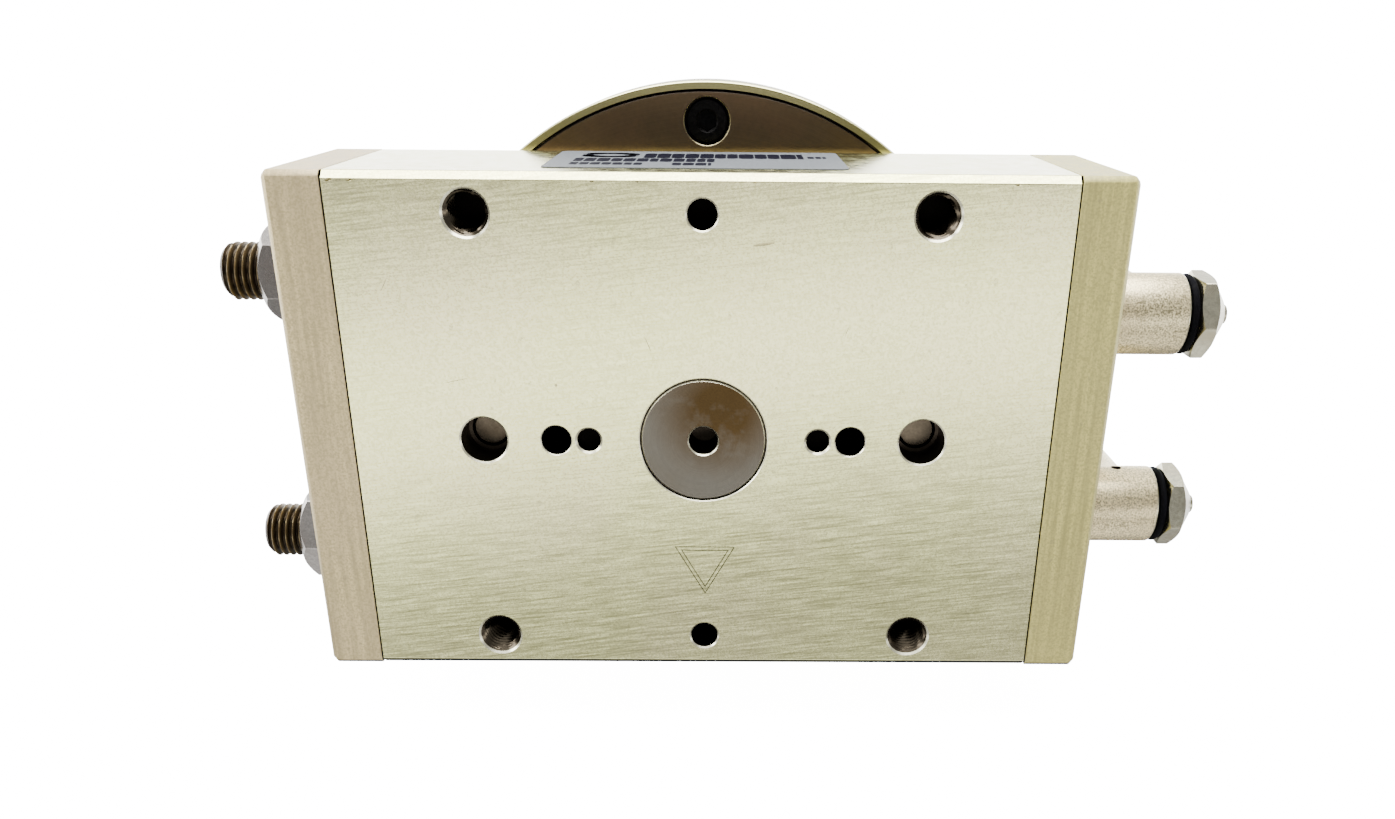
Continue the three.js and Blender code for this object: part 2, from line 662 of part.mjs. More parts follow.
function addShaft() {
  add(actuator, "pinion_shaft", pinionShaft(), "shaftSteel");
  for (const [end, y] of [["rear", REAR_BEARING_Y], ["front", FRONT_BEARING_Y]]) {
    const inner = bearingRace(SHAFT_RADIUS + 0.35, 14.55, -1);
    const outer = bearingRace(16.95, BEARING_OUTER_RADIUS, 1);
    add(actuator, `${end}_bearing_inner_race`, inner, "brightSteel", 0, y, 0);
    add(actuator, `${end}_bearing_outer_race`, outer, "brightSteel", 0, y, 0);
    add(actuator, `${end}_bearing_balls`, ballSet(), "brightSteel", 0, y + BEARING_WIDTH / 2, 0);
  }
  add(actuator, "bearing_circlip", bearingCirclip(), "blackSteel", 0, CIRCLIP_Y, 0);
  for (const [level, side] of SIDES) {
    const group = new THREE.Group();
    group.position.set(0, MID_DEPTH, side * BORE_OFFSET);
    group.rotation.x = side > 0 ? 0 : Math.PI;
    actuator.add(group);
    add(group, `${level}_rack_piston`, rackPiston(), "brightSteel");
    add(group, `${level}_piston_seal_stop_end`, pistonSeal(), "seal", -SEAL_X, 0, 0);
    add(group, `${level}_piston_seal_port_end`, pistonSeal(), "seal", SEAL_X, 0, 0);
  }
}

function addOutput() {
  add(actuator, "output_flange", outputFlange(), "flange");
  add(actuator, "tooling_table", toolingTable(), "table");
  const hub = add(actuator, "flange_centre_screw", capScrew(5, 3.8, 3, 13, 4), "blackSteel", 0, 53.1, 0);
  hub.rotation.z = Math.PI / 2;
  [-1, 1].forEach((side, i) => {
    const pin = toGeometry(solid(rod("y", 1.95, 40, 52.9, 8)));
    add(actuator, `drive_pin_${i + 1}`, pin, "brightSteel", side * DRIVE_PIN_OFFSET, 0, 0);
  });
  TABLE_SCREW_ANGLES.forEach((angle, i) => {
    const [x, z] = aroundAxis(TABLE_SCREW_CIRCLE, angle);
    const geometry = capScrew(4.45, 4.7, 2.5, 6.9, 4);
    const screw = add(actuator, `table_screw_${i + 1}`, geometry, "blackSteel", x, FLANGE_Y + 0.5, z);
    screw.rotation.z = -Math.PI / 2;
  });
}

function addStops() {
  for (const [level, side] of SIDES) {
    const group = new THREE.Group();
    group.position.set(0, MID_DEPTH, side * BORE_OFFSET);
    group.rotation.z = Math.PI;
    actuator.add(group);
    add(group, `${level}_stop_screw`, stopScrew(), "bronze", STOP_TIP_X, 0, 0);
    const washer = toGeometry(solid(ring("x", STOP_RADIUS + 0.35, 9.4, 0, 1.3, RING_ROUND)));
    add(group, `${level}_stop_seal_washer`, washer, "rubber", PLATE_OUTER_X + 0.1, 0, 0);
    const nut = add(group, `${level}_stop_nut`, stopNut(), "nickel", PLATE_OUTER_X + 1.7, 0, 0);
    nut.rotation.x = THREE.MathUtils.degToRad(NUT_TURN[level]);
  }
}

function addFlowControls() {
  for (const [level, side] of SIDES) {
    const group = new THREE.Group();
    group.position.set(BARREL_FOOT_X, MID_DEPTH, side * PORT_OFFSET);
    actuator.add(group);
    add(group, `${level}_elbow_body`, elbowBody(), "nickel");
    const bolt = add(group, `${level}_hollow_bolt`, hollowBolt(), "nickel");
    bolt.rotation.x = -THREE.MathUtils.degToRad(BOLT_TURN[level]);
    add(group, `${level}_needle`, needle(), "brightSteel");
    const base = toGeometry(solid(ring("x", 5.6, 8, -1.9, -REST_GAP, RING_ROUND)));
    add(group, `${level}_base_ring`, base, "rubber");
    const top = ring("x", 5.6, 8.25, BARREL_LENGTH + REST_GAP, BOLT_HEAD_X - REST_GAP, RING_ROUND);
    add(group, `${level}_head_ring`, toGeometry(solid(top)), "rubber");
    add(group, `${level}_release_collet`, releaseCollet(), "collet", ARM_FROM_FOOT, 0, 0);
  }
}

addHousing();
addShaft();
addOutput();
addStops();
addFlowControls();

export default actuator;
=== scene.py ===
"""Looks for the rotary pneumatic actuator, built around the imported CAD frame.

Shapes are worked out in millimetres in the row frame and scaled to metres at the end.
"""

import json
import math
import random

import bmesh
import bpy
from mathutils import Matrix, Vector

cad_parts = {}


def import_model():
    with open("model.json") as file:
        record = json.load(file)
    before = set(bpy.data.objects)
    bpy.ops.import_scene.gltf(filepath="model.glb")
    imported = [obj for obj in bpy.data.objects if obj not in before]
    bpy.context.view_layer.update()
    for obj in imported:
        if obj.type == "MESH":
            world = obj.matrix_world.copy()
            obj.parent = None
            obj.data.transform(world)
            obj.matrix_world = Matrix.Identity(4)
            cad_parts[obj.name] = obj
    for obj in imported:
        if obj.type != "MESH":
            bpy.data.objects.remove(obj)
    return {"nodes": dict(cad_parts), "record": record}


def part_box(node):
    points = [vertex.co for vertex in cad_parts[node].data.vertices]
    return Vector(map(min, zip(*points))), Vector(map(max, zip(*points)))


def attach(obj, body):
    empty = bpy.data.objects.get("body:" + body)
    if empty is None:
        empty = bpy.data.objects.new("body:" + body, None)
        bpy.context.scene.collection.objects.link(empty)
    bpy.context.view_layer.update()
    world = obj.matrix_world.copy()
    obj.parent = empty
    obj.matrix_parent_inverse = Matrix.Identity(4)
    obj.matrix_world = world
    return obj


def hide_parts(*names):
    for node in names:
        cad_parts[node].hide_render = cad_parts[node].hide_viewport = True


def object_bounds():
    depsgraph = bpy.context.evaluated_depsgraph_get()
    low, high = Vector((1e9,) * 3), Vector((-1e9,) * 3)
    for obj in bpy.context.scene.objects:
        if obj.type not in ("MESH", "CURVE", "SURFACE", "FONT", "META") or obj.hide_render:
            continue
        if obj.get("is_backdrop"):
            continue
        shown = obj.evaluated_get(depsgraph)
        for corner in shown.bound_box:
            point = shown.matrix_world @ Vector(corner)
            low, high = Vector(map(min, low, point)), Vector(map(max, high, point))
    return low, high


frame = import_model()
cad_low, cad_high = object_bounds()
body_of = {node: body for body, nodes in frame["record"]["behaviour"]["bodies"].items() for node in nodes}
slot_of = {part["node"]: part["material_slot"] for part in frame["record"]["subparts"]}

LEVELS = (("upper", 1), ("lower", -1))
NUT_TURN = {"upper": 9, "lower": 29}
BOLT_TURN = {"upper": 23, "lower": 15}
SHAFT_REACH = 12.46
SHARP_EDGE = 0.6  # radians between two faces; break_edges works on edges sharper than this
WORK_SLOTS = 6  # material slots on every shape that a boolean works on
AXES = {
    "x": (Vector((1, 0, 0)), Vector((0, 0, 1)), Vector((0, 1, 0))),
    "y": (Vector((0, 1, 0)), Vector((0, 0, 1)), Vector((1, 0, 0))),
}


def box_mm(node):
    """A CAD node's lowest and highest corners, in millimetres."""
    low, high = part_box(node)
    return Vector(low) * 1000, Vector(high) * 1000


def centre_mm(node):
    low, high = box_mm(node)
    return (low + high) / 2


# ---- mesh helpers ----------------------------------------------------------------------------------


def surface(axis, origin, distances, radius, segments=64, slot=lambda distance: 0):
    """A closed body around an axis line, with radius(distance, angle) and a flat cap at each end."""
    along, u, v = AXES[axis]
    bm = bmesh.new()
    rows = []
    for distance in distances:
        row = []
        for j in range(segments):
            angle = 2 * math.pi * j / segments
            reach = radius(distance, angle)
            point = Vector(origin) + along * distance + reach * (math.cos(angle) * u + math.sin(angle) * v)
            row.append(bm.verts.new(point))
        rows.append(row)
    for i, (near, far) in enumerate(zip(rows, rows[1:])):
        for j in range(segments):
            k = (j + 1) % segments
            face = bm.faces.new((near[j], near[k], far[k], far[j]))
            face.material_index = slot((distances[i] + distances[i + 1]) / 2)
    for row, distance in ((rows[0], distances[0]), (rows[-1], distances[-1])):
        middle = bm.verts.new(Vector(origin) + along * distance)
        for j in range(segments):
            face = bm.faces.new((row[j], row[(j + 1) % segments], middle))
            face.material_index = slot(distance)
    bmesh.ops.recalc_face_normals(bm, faces=bm.faces)
    return bm


def lathe(axis, origin, profile, segments=96, slots=None, closed=False, start=0.0):
    """A turned body. The profile is a list of (radius, distance), ending on the axis or closed."""
    along, u, v = AXES[axis]
    bm = bmesh.new()
    rows = []
    for reach, distance in profile:
        middle = Vector(origin) + along * distance
        if reach < 1e-6:
            rows.append([bm.verts.new(middle)])
            continue
        angles = [start + 2 * math.pi * j / segments for j in range(segments)]
        rows.append([bm.verts.new(middle + reach * (math.cos(a) * u + math.sin(a) * v)) for a in angles])
    bands = list(zip(rows, rows[1:]))
    if closed:
        bands.append((rows[-1], rows[0]))
    for index, (near, far) in enumerate(bands):
        for j in range(segments):
            k = (j + 1) % segments
            ring = [near[j % len(near)], near[k % len(near)], far[k % len(far)], far[j % len(far)]]
            corners = list(dict.fromkeys(ring))
            if len(corners) > 2:
                face = bm.faces.new(corners)
                face.material_index = slots[index] if slots else 0
    bmesh.ops.recalc_face_normals(bm, faces=bm.faces)
    return bm


def hexagon(axis, origin, across_flats, start, end, point=0.0, turn=0.0):
    """A hexagonal bar from start to end, with a cone of the given depth beyond its end."""
    corner = across_flats / math.sqrt(3)
    tip = end + math.copysign(point, end - start)
    profile = [(0, start), (corner, start), (corner, end), (0, tip)]
    return lathe(axis, origin, profile, segments=6, start=math.radians(turn))


def hull(points):
    bm = bmesh.new()
    for point in points:
        bm.verts.new(point)
    bmesh.ops.convex_hull(bm, input=bm.verts)
    bmesh.ops.dissolve_limit(bm, angle_limit=0.01, verts=bm.verts, edges=bm.edges)
    return bm


def break_edges(bm, width):
    """Puts a small chamfer on the sharp edges."""
    edges = [e for e in bm.edges if len(e.link_faces) == 2 and e.calc_face_angle() > SHARP_EDGE]
    bmesh.ops.bevel(bm, geom=edges, offset=width, segments=1, affect="EDGES", clamp_overlap=True)
    return bm


def work_object(bm):
    mesh = bpy.data.meshes.new("work")
    bm.to_mesh(mesh)
    bm.free()
    for _ in range(WORK_SLOTS):
        mesh.materials.append(None)
    obj = bpy.data.objects.new("work", mesh)
    bpy.context.scene.collection.objects.link(obj)
    return obj


def combine(base, tool, operation="DIFFERENCE"):
    """A boolean of two bmeshes, which it uses up. Faces keep their own material index."""
    first, second = work_object(base), work_object(tool)
    modifier = first.modifiers.new("combine", "BOOLEAN")
    modifier.object = second
    modifier.operation = operation
    modifier.solver = "EXACT"
    modifier.material_mode = "INDEX"
    result = bmesh.new()
    result.from_object(first, bpy.context.evaluated_depsgraph_get())
    for obj in (first, second):
        mesh = obj.data
        bpy.data.objects.remove(obj)
        bpy.data.meshes.remove(mesh)
    return result


def gather(parts):
    """Several bmeshes as one, which uses them up."""
    total = bmesh.new()
    for part in parts:
        mesh = bpy.data.meshes.new("gather")
        part.to_mesh(mesh)
        part.free()
        total.from_mesh(mesh)
        bpy.data.meshes.remove(mesh)
    return total


def piece(name, bm, materials, node=None, body=None, sharp=0.6):
    """Turns a bmesh in millimetres into a piece that rides on its body and stands for its CAD node."""
    bm.transform(Matrix.Scale(0.001, 4))
    for face in bm.faces:
        face.smooth = True
    for edge in bm.edges:
        broad = any(face.calc_area() > 5e-6 and (len(face.verts) > 4 or max(map(abs, face.normal)) > 0.9999)
                    for face in edge.link_faces)
        limit = 0.02 if broad else sharp
        edge.smooth = len(edge.link_faces) == 2 and edge.calc_face_angle() < limit
    mesh = bpy.data.meshes.new(name)
    bm.to_mesh(mesh)
    bm.free()
    for material in materials:
        mesh.materials.append(material)
    obj = bpy.data.objects.new(name, mesh)
    bpy.context.scene.collection.objects.link(obj)
    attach(obj, body or body_of[node])
    if node:
        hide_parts(node)
    return obj


def steps(start, end, size):
    count = max(1, math.ceil(abs(end - start) / size))
    return [start + (end - start) * i / count for i in range(count + 1)]


def thread_form(major, minor, pitch):
    """Radius of a screw thread at a distance along it and an angle round it."""

    def radius(distance, angle):
        phase = (distance / pitch - angle / (2 * math.pi)) % 1
        depth = min(1, max(0, (abs(phase - 0.5) * 2 - 0.1) / 0.72))
        return major - (major - minor) * depth

    return radius


def tapped_hole(axis, origin, major, minor, pitch, depth, direction, countersink=0.55, wall=1):
    """A cutter for a threaded hole: slot 2 at its mouth, slot 3 at its bottom and `wall` between."""
    form = thread_form(major, minor, pitch)

    def radius(distance, angle):
        inward = distance * direction
        mouth = major + countersink - inward
        value = form(distance, angle)
        return max(value, mouth) if inward < countersink + major - minor else value

    inward = [-0.8, 0.0] + [d for d in steps(0, depth, pitch / 6) if d > 0.05]
    distances = [d * direction for d in inward]
    edge = countersink * 0.9

    def slot(distance):
        inward = distance * direction
        return 2 if inward < edge else 3 if inward > depth - 0.01 else wall

    return surface(axis, origin, distances, radius, 48, slot)


def plain_hole(axis, origin, reach, depth, direction, countersink=0.35, tip=0.3, segments=64):
    """A cutter for a drilled hole with a conical bottom."""
    profile = [
        (0, -0.8),
        (reach + countersink + 0.8, -0.8),
        (reach, countersink),
        (reach, depth),
        (0, depth + reach * tip),
    ]
    profile = [(r, d * direction) for r, d in profile]
    return lathe(axis, origin, profile, segments, slots=(2, 2, 1, 3))


# ---- material helpers ------------------------------------------------------------------------------


class Look:
    """A small builder of procedural materials on the Principled shader."""

    def __init__(self, name):
        self.material = bpy.data.materials.new(name)
        self.material.use_nodes = True
        self.nodes = self.material.node_tree.nodes
        self.links = self.material.node_tree.links
        self.shader = next(n for n in self.nodes if n.type == "BSDF_PRINCIPLED")
        self.place = self.nodes.new("ShaderNodeTexCoord").outputs["Object"]

    def feed(self, socket, value):
        if isinstance(value, bpy.types.NodeSocket):
            self.links.new(value, socket)
        else:
            socket.default_value = value

    def set(self, **values):
        for name, value in values.items():
            self.feed(self.shader.inputs[name.replace("_", " ")], value)
        return self

    def mapped(self, vector, scale=(1, 1, 1), turn=(0, 0, 0)):
        node = self.nodes.new("ShaderNodeMapping")
        self.feed(node.inputs["Vector"], vector)
        node.inputs["Scale"].default_value = scale
        node.inputs["Rotation"].default_value = turn
        return node.outputs["Vector"]

    def stretched(self, scale, turn=(0, 0, 0)):
        """Turns the object's own coordinates, then stretches them."""
        return self.mapped(self.mapped(self.place, turn=turn), scale)

    def noise(self, scale, vector=None, detail=2.0, rough=0.5):
        node = self.nodes.new("ShaderNodeTexNoise")
        self.feed(node.inputs["Vector"], vector or self.place)
        node.inputs["Scale"].default_value = scale
        node.inputs["Detail"].default_value = detail
        node.inputs["Roughness"].default_value = rough
        return node.outputs["Fac"]

    def math(self, kind, a, b=0.0, clamp=False):
        node = self.nodes.new("ShaderNodeMath")
        node.operation = kind
        node.use_clamp = clamp
        self.feed(node.inputs[0], a)
        self.feed(node.inputs[1], b)
        return node.outputs[0]

    def span(self, value, low, high, to_low=0.0, to_high=1.0):
        node = self.nodes.new("ShaderNodeMapRange")
        for socket, item in zip(node.inputs, (value, low, high, to_low, to_high)):
            self.feed(socket, item)
        return node.outputs[0]

    def mix(self, factor, a, b):
        node = self.nodes.new("ShaderNodeMix")
        node.data_type = "RGBA"
        self.feed(node.inputs["Factor"], factor)
        self.feed(node.inputs[6], a if not isinstance(a, tuple) else (*a, 1))
        self.feed(node.inputs[7], b if not isinstance(b, tuple) else (*b, 1))
        return node.outputs[2]

    def off_axis(self, origin, scale):
        """Distance from the output axis or from a line along X, in the units that scale gives."""
        node = self.nodes.new("ShaderNodeMapping")
        node.vector_type = "POINT"
        self.feed(node.inputs["Vector"], self.place)
        node.inputs["Location"].default_value = [-o * s for o, s in zip(origin, scale)]
        node.inputs["Scale"].default_value = scale
        length = self.nodes.new("ShaderNodeVectorMath")
        length.operation = "LENGTH"
        self.feed(length.inputs[0], node.outputs["Vector"])
        return length.outputs["Value"]

    def along(self, axis):
        node = self.nodes.new("ShaderNodeSeparateXYZ")
        self.feed(node.inputs[0], self.place)
        return node.outputs[axis]

    def bump(self, height, distance, strength):
        node = self.nodes.new("ShaderNodeBump")
        node.inputs["Distance"].default_value = distance
        node.inputs["Strength"].default_value = strength
        self.feed(node.inputs["Height"], height)
        return node.outputs["Normal"]


def brushed(name, colour, tint, streaks, rough=0.42, metal=0.75, marks=0.3, contrast=0.2, lean=0.0):
    """Anodised aluminium with brushing lines, a slow change of tint, faint scratches and specks."""
    look = Look(name)
    lines = look.noise(1.0, look.stretched(streaks, (0, lean, 0)), 4, 0.65)
    broad = look.noise(28, detail=3, rough=0.6)
    grain = look.noise(2600, detail=1)
    low, high = [tuple(min(1, c * f) for c in colour) for f in (1 - contrast, 1 + contrast)]
    base = look.mix(look.span(lines, 0.3, 0.7), low, high)
    base = look.mix(look.span(broad, 0.38, 0.68, 0, 0.45), base, tint)
    base = look.mix(look.span(grain, 0.4, 0.65, 0, 0.6), base, tuple(c * 0.6 for c in colour))
    scratch = look.noise(1.0, look.stretched((60, 60, 1700), (0.2, 0.75, 0.1)), 1, 0.4)
    scratch = look.span(scratch, 0.735, 0.76, 0, 0.45 * marks)
    other = look.noise(1.0, look.stretched((1500, 50, 45), (0.1, 0.5, 0.35)), 1, 0.4)
    other = look.span(other, 0.74, 0.765, 0, 0.4 * marks)
    specks = look.span(look.noise(700, detail=0), 0.80, 0.83, 0, 0.6 * marks)
    base = look.mix(look.math("MAXIMUM", scratch, other), base, tuple(c * 0.55 for c in colour))
    base = look.mix(specks, base, (0.12, 0.10, 0.08))
    roughness = look.span(lines, 0.3, 0.7, rough - 0.05, rough + 0.07)
    height = look.math("ADD", look.math("MULTIPLY", lines, 0.4), look.math("MULTIPLY", grain, 0.6))
    look.set(Base_Color=base, Metallic=metal, Roughness=roughness, Normal=look.bump(height, 0.00003, 0.22))
    return look.material


def plain_metal(name, colour, rough, metal=0.9, grain=1500, depth=0.00001, spread=0.12, stain=None):
    """Metal with fine grain and slow changes of tint and gloss."""
    look = Look(name)
    fine = look.noise(grain, detail=3, rough=0.6)
    slow = look.noise(90, detail=3, rough=0.6)
    dark = tuple(c * (1 - spread) for c in colour)
    light = tuple(min(1, c * (1 + spread)) for c in colour)
    base = look.mix(look.span(fine, 0.35, 0.65), dark, light)
    if stain:
        base = look.mix(look.span(slow, 0.5, 0.68, 0, 0.75), base, stain)
    roughness = look.span(slow, 0.3, 0.7, rough - 0.06, rough + 0.08)
    look.set(Base_Color=base, Metallic=metal, Roughness=roughness, Normal=look.bump(fine, depth, 0.5))
    return look.material


def turned(name, colour, tint, rough, metal, rings=9000, stain=None, stain_place=(0, 0, 0)):
    """Metal faced on a lathe: fine rings about the output axis, and tint that drifts across the face."""
    look = Look(name)
    radius = look.off_axis((0, 0, 0), (1, 0, 1))
    ring_place = look.nodes.new("ShaderNodeCombineXYZ")
    look.feed(ring_place.inputs[0], radius)
    look.feed(ring_place.inputs[1], look.along("Y"))
    rings = look.noise(rings, ring_place.outputs[0], 2, 0.6)
    slow = look.noise(55, detail=4, rough=0.65)
    grain = look.noise(1400, detail=2)
    low, high = [tuple(c * f for c in colour) for f in (0.9, 1.1)]
    base = look.mix(look.span(rings, 0.35, 0.65), low, high)
    base = look.mix(look.span(slow, 0.42, 0.66, 0, 0.55), base, tint)
    base = look.mix(look.span(grain, 0.45, 0.7, 0, 0.2), base, tuple(c * 0.75 for c in colour))
    if stain:
        near = look.off_axis(stain_place, (1, 0, 1))
        patch = look.span(near, 0.0150, 0.005, 0, 0.92)
        patch = look.math("MULTIPLY", patch, look.span(look.noise(160, detail=4, rough=0.6), 0.15, 0.5), True)
        base = look.mix(patch, base, stain)
    roughness = look.span(slow, 0.3, 0.7, rough - 0.05, rough + 0.08)
    look.set(Base_Color=base, Metallic=metal, Roughness=roughness, Normal=look.bump(rings, 0.00002, 0.4))
    return look.material


def blasted(name, colour):
    """Bead-blasted nickel: bright and dark sparkle on a fine pebbled surface."""
    look = Look(name)
    pebbles = look.noise(2300, detail=2, rough=0.6)
    glints = look.noise(2900, detail=1, rough=0.5)
    slow = look.noise(120, detail=2)
    darker, lighter = [tuple(min(1, c * f) for c in colour) for f in (0.45, 1.38)]
    base = look.mix(look.span(glints, 0.36, 0.66), darker, lighter)
    tinted = tuple(c * f for c, f in zip(colour, (0.93, 0.87, 0.85)))
    base = look.mix(look.span(slow, 0.4, 0.7, 0, 0.35), base, tinted)
    look.set(Base_Color=base, Metallic=0.9, Roughness=look.span(glints, 0.3, 0.7, 0.3, 0.48))
    look.set(Normal=look.bump(pebbles, 0.00009, 0.6))
    return look.material


def threaded_bronze(name, axes):
    """Passivated thread: orange crests, a painted highlight broken up by wear; brown flanks; and dark roots,
    which are painted shade.
    """
    look = Look(name)
    upper = look.off_axis(axes[0], (0, 1, 1))
    lower = look.off_axis(axes[1], (0, 1, 1))
    radius = look.math("MINIMUM", upper, lower)
    wear = look.noise(700, detail=3, rough=0.65)
    # Darker towards the axis: painted shade in the thread roots.
    base = look.mix(look.span(radius, 0.0051, 0.0058), (0.018, 0.012, 0.006), (0.11, 0.078, 0.036))
    # Lighter crests: a painted highlight, broken up by the wear noise.
    crest = look.math("MULTIPLY", look.span(radius, 0.00568, 0.00585), look.span(wear, 0.35, 0.6), True)
    base = look.mix(crest, base, (0.27, 0.215, 0.12))
    base = look.mix(look.span(wear, 0.5, 0.68, 0, 0.6), base, (0.055, 0.038, 0.018))
    look.set(Base_Color=base, Metallic=0.85, Roughness=look.span(wear, 0.3, 0.7, 0.28, 0.45))
    look.set(Normal=look.bump(wear, 0.00003, 0.4))
    return look.material


def dull(name, colour, rough, dust_and_sheen=0.25, grain=1800, depth=0.00002, shine=0.5):
    """Rubber or plastic with a fine moulded texture and lighter grey patches, which stand for a little dust
    and a painted highlight.
    """
    look = Look(name)
    fine = look.noise(grain, detail=3, rough=0.6)
    dust = look.noise(400, detail=4, rough=0.7)
    base = look.mix(look.span(fine, 0.35, 0.7), colour, tuple(c * 1.5 for c in colour))
    # Lighter grey patches: part dust, part painted highlight.
    base = look.mix(look.span(dust, 0.6, 0.8, 0, dust_and_sheen), base, (0.3, 0.29, 0.27))
    look.set(Base_Color=base, Roughness=look.span(fine, 0.3, 0.7, rough - 0.08, rough + 0.08))
    look.set(Specular_IOR_Level=shine)
    look.set(Normal=look.bump(fine, depth, 0.6))
    return look.material


# ---- materials -------------------------------------------------------------------------------------

stop_axes = [tuple(centre_mm(f"{level}_stop_screw") / 1000) for level, _ in LEVELS]
LOOKS = {
    "body": brushed("body_brushed", (0.76, 0.745, 0.35), (0.79, 0.70, 0.45), (110, 300, 2400),
                    rough=0.2, metal=1.0, contrast=0.44, lean=0.12),
    "stop_plate": brushed("stop_plate_brushed", (0.52, 0.42, 0.21), (0.56, 0.43, 0.27),
                          (700, 300, 30), metal=0.4, contrast=0.35),
    "port_plate": brushed("port_plate_brushed", (0.46, 0.41, 0.125), (0.49, 0.42, 0.15),
                          (900, 300, 25), metal=0.15, contrast=0.4),
    # hole_wall, thread_wall and hole_bottom are dark colours that paint shade: they stand in for the shade
    # inside holes, bores, pockets and the gaps between parts.
    "hole_wall": plain_metal("hole_wall", (0.030, 0.024, 0.018), 0.32, 1.0),
    "hole_mouth": plain_metal("hole_mouth", (0.80, 0.77, 0.58), 0.3, 1.0),
    "thread_wall": plain_metal("thread_wall", (0.075, 0.062, 0.045), 0.22, 1.0),
    "hole_bottom": plain_metal("hole_bottom", (0.006, 0.005, 0.004), 0.6, 1.0),
    "scratch": plain_metal("scratch", (0.42, 0.38, 0.20), 0.3, 1.0),
    # pocket_mouth is much lighter than the flange: a painted highlight on the chamfers of the flange's screw
    # pockets.
    "pocket_mouth": plain_metal("pocket_mouth", (0.40, 0.35, 0.20), 0.3, 1.0),
    "shaft": turned("shaft_ground", (0.128, 0.118, 0.098), (0.14, 0.12, 0.09), 0.40, 0.9,
                    stain=(0.060, 0.033, 0.007), stain_place=(0.0035, 0, 0.0060)),
    "flange": turned("flange_dark", (0.080, 0.056, 0.031), (0.10, 0.062, 0.035), 0.42, 0.9),
    "table": turned("table_turned", (0.235, 0.215, 0.098), (0.26, 0.235, 0.11), 0.34, 0.9),
    # rim_edge is much lighter than the table: a painted highlight on the table's front edge and the mouths of
    # its holes.
    "rim_edge": plain_metal("rim_edge", (0.80, 0.76, 0.42), 0.3, 1.0),
    "black": plain_metal("black_oxide", (0.008, 0.0075, 0.0075), 0.45, 1.0, spread=0.3),
    "bronze": threaded_bronze("stop_screw_bronze", stop_axes),
    "nut": plain_metal("nut_zinc", (0.29, 0.27, 0.255), 0.22, 1.0, stain=(0.21, 0.18, 0.165)),
    "nickel": blasted("nickel_blasted", (0.72, 0.62, 0.37)),
    "hex": plain_metal("nickel_hex", (0.47, 0.45, 0.34), 0.24, 1.0, grain=900, stain=(0.37, 0.32, 0.22)),
    "steel": plain_metal("hard_steel", (0.55, 0.55, 0.54), 0.3, 0.9),
    "plug": plain_metal("plug_steel", (0.09, 0.073, 0.052), 0.34, 1.0, stain=(0.05, 0.036, 0.022)),
    "rubber": dull("black_rubber", (0.003, 0.003, 0.004), 0.6, dust_and_sheen=0.02, shine=0.02),
    "seal": dull("seal_rubber", (0.012, 0.018, 0.012), 0.55, shine=0.2),
    "collet": dull("collet_plastic", (0.010, 0.010, 0.012), 0.42, shine=0.3),
    "label": dull("label_film", (0.10, 0.107, 0.115), 0.5, dust_and_sheen=0.05, shine=0.02),
    "ink": dull("label_ink", (0.004, 0.004, 0.008), 0.5, dust_and_sheen=0.02, shine=0.02),
}
CARRIED = {
    "body_aluminium": "body",
    "hard_steel": "steel",
    "black_steel": "black",
    "black_rubber": "rubber",
    "seal_rubber": "seal",
}

# ---- block and end plates --------------------------------------------------------------------------

block_low, block_high = box_mm("body_block")
FRONT = block_low.y
BACK = block_high.y
MIDDLE = (FRONT + BACK) / 2
shaft_low, shaft_high = box_mm("pinion_shaft")
PITCH = centre_mm("right_passage_plug").x
BORE = centre_mm("upper_rack_piston").z
PORT = centre_mm("upper_hollow_bolt").z
openings = {
    o["name"]: (Vector(o["box_m"][0]) + Vector(o["box_m"][1])) * 500
    for o in frame["record"]["physics"]["openings"]
}


def section(x, chamfer, inset=0.0):
    """The eight corners of the block's outline at x."""
    corners = []
    for y, toward in ((FRONT + inset, 1), (BACK - inset, -1)):
        for z, side in ((block_low.z + inset, 1), (block_high.z - inset, -1)):
            corners.append((x, y, z + side * chamfer))
            corners.append((x, y + toward * chamfer, z))
    return corners


def darken_joint(bm, places):
    """Gives the faces that meet across a joint, at the given x, the dark look of the hole walls, so the seam
    shows as a dark line.
    """
    for face in bm.faces:
        if any(all(abs(vert.co.x - x) < 0.01 for vert in face.verts) for x in places):
            face.material_index = 1


def paint_shade_on_lower_edges(bm, slot):
    """Gives the chamfers along the bottom, where the block stands, the dark look of the given slot: painted
    shade in place of the contact shadow there.
    """
    for face in bm.faces:
        if abs(face.normal.x) < 0.01 and face.normal.z < -0.5 and abs(face.normal.y) > 0.5:
            face.material_index = slot


def engraved_triangle(middle, reach, width, depth):
    """Cutters for a triangle drawn as two fine outlines."""
    rings = []
    for size in (reach, reach - 1.5):
        outer, inner = size, size - width
        rings.append(lathe("y", (middle[0], FRONT, middle[1]),
                           [(inner, -0.5), (outer, -0.5), (outer, depth), (inner, depth)],
                           segments=3, slots=(3, 3, 3, 3), closed=True, start=math.pi))
    return rings


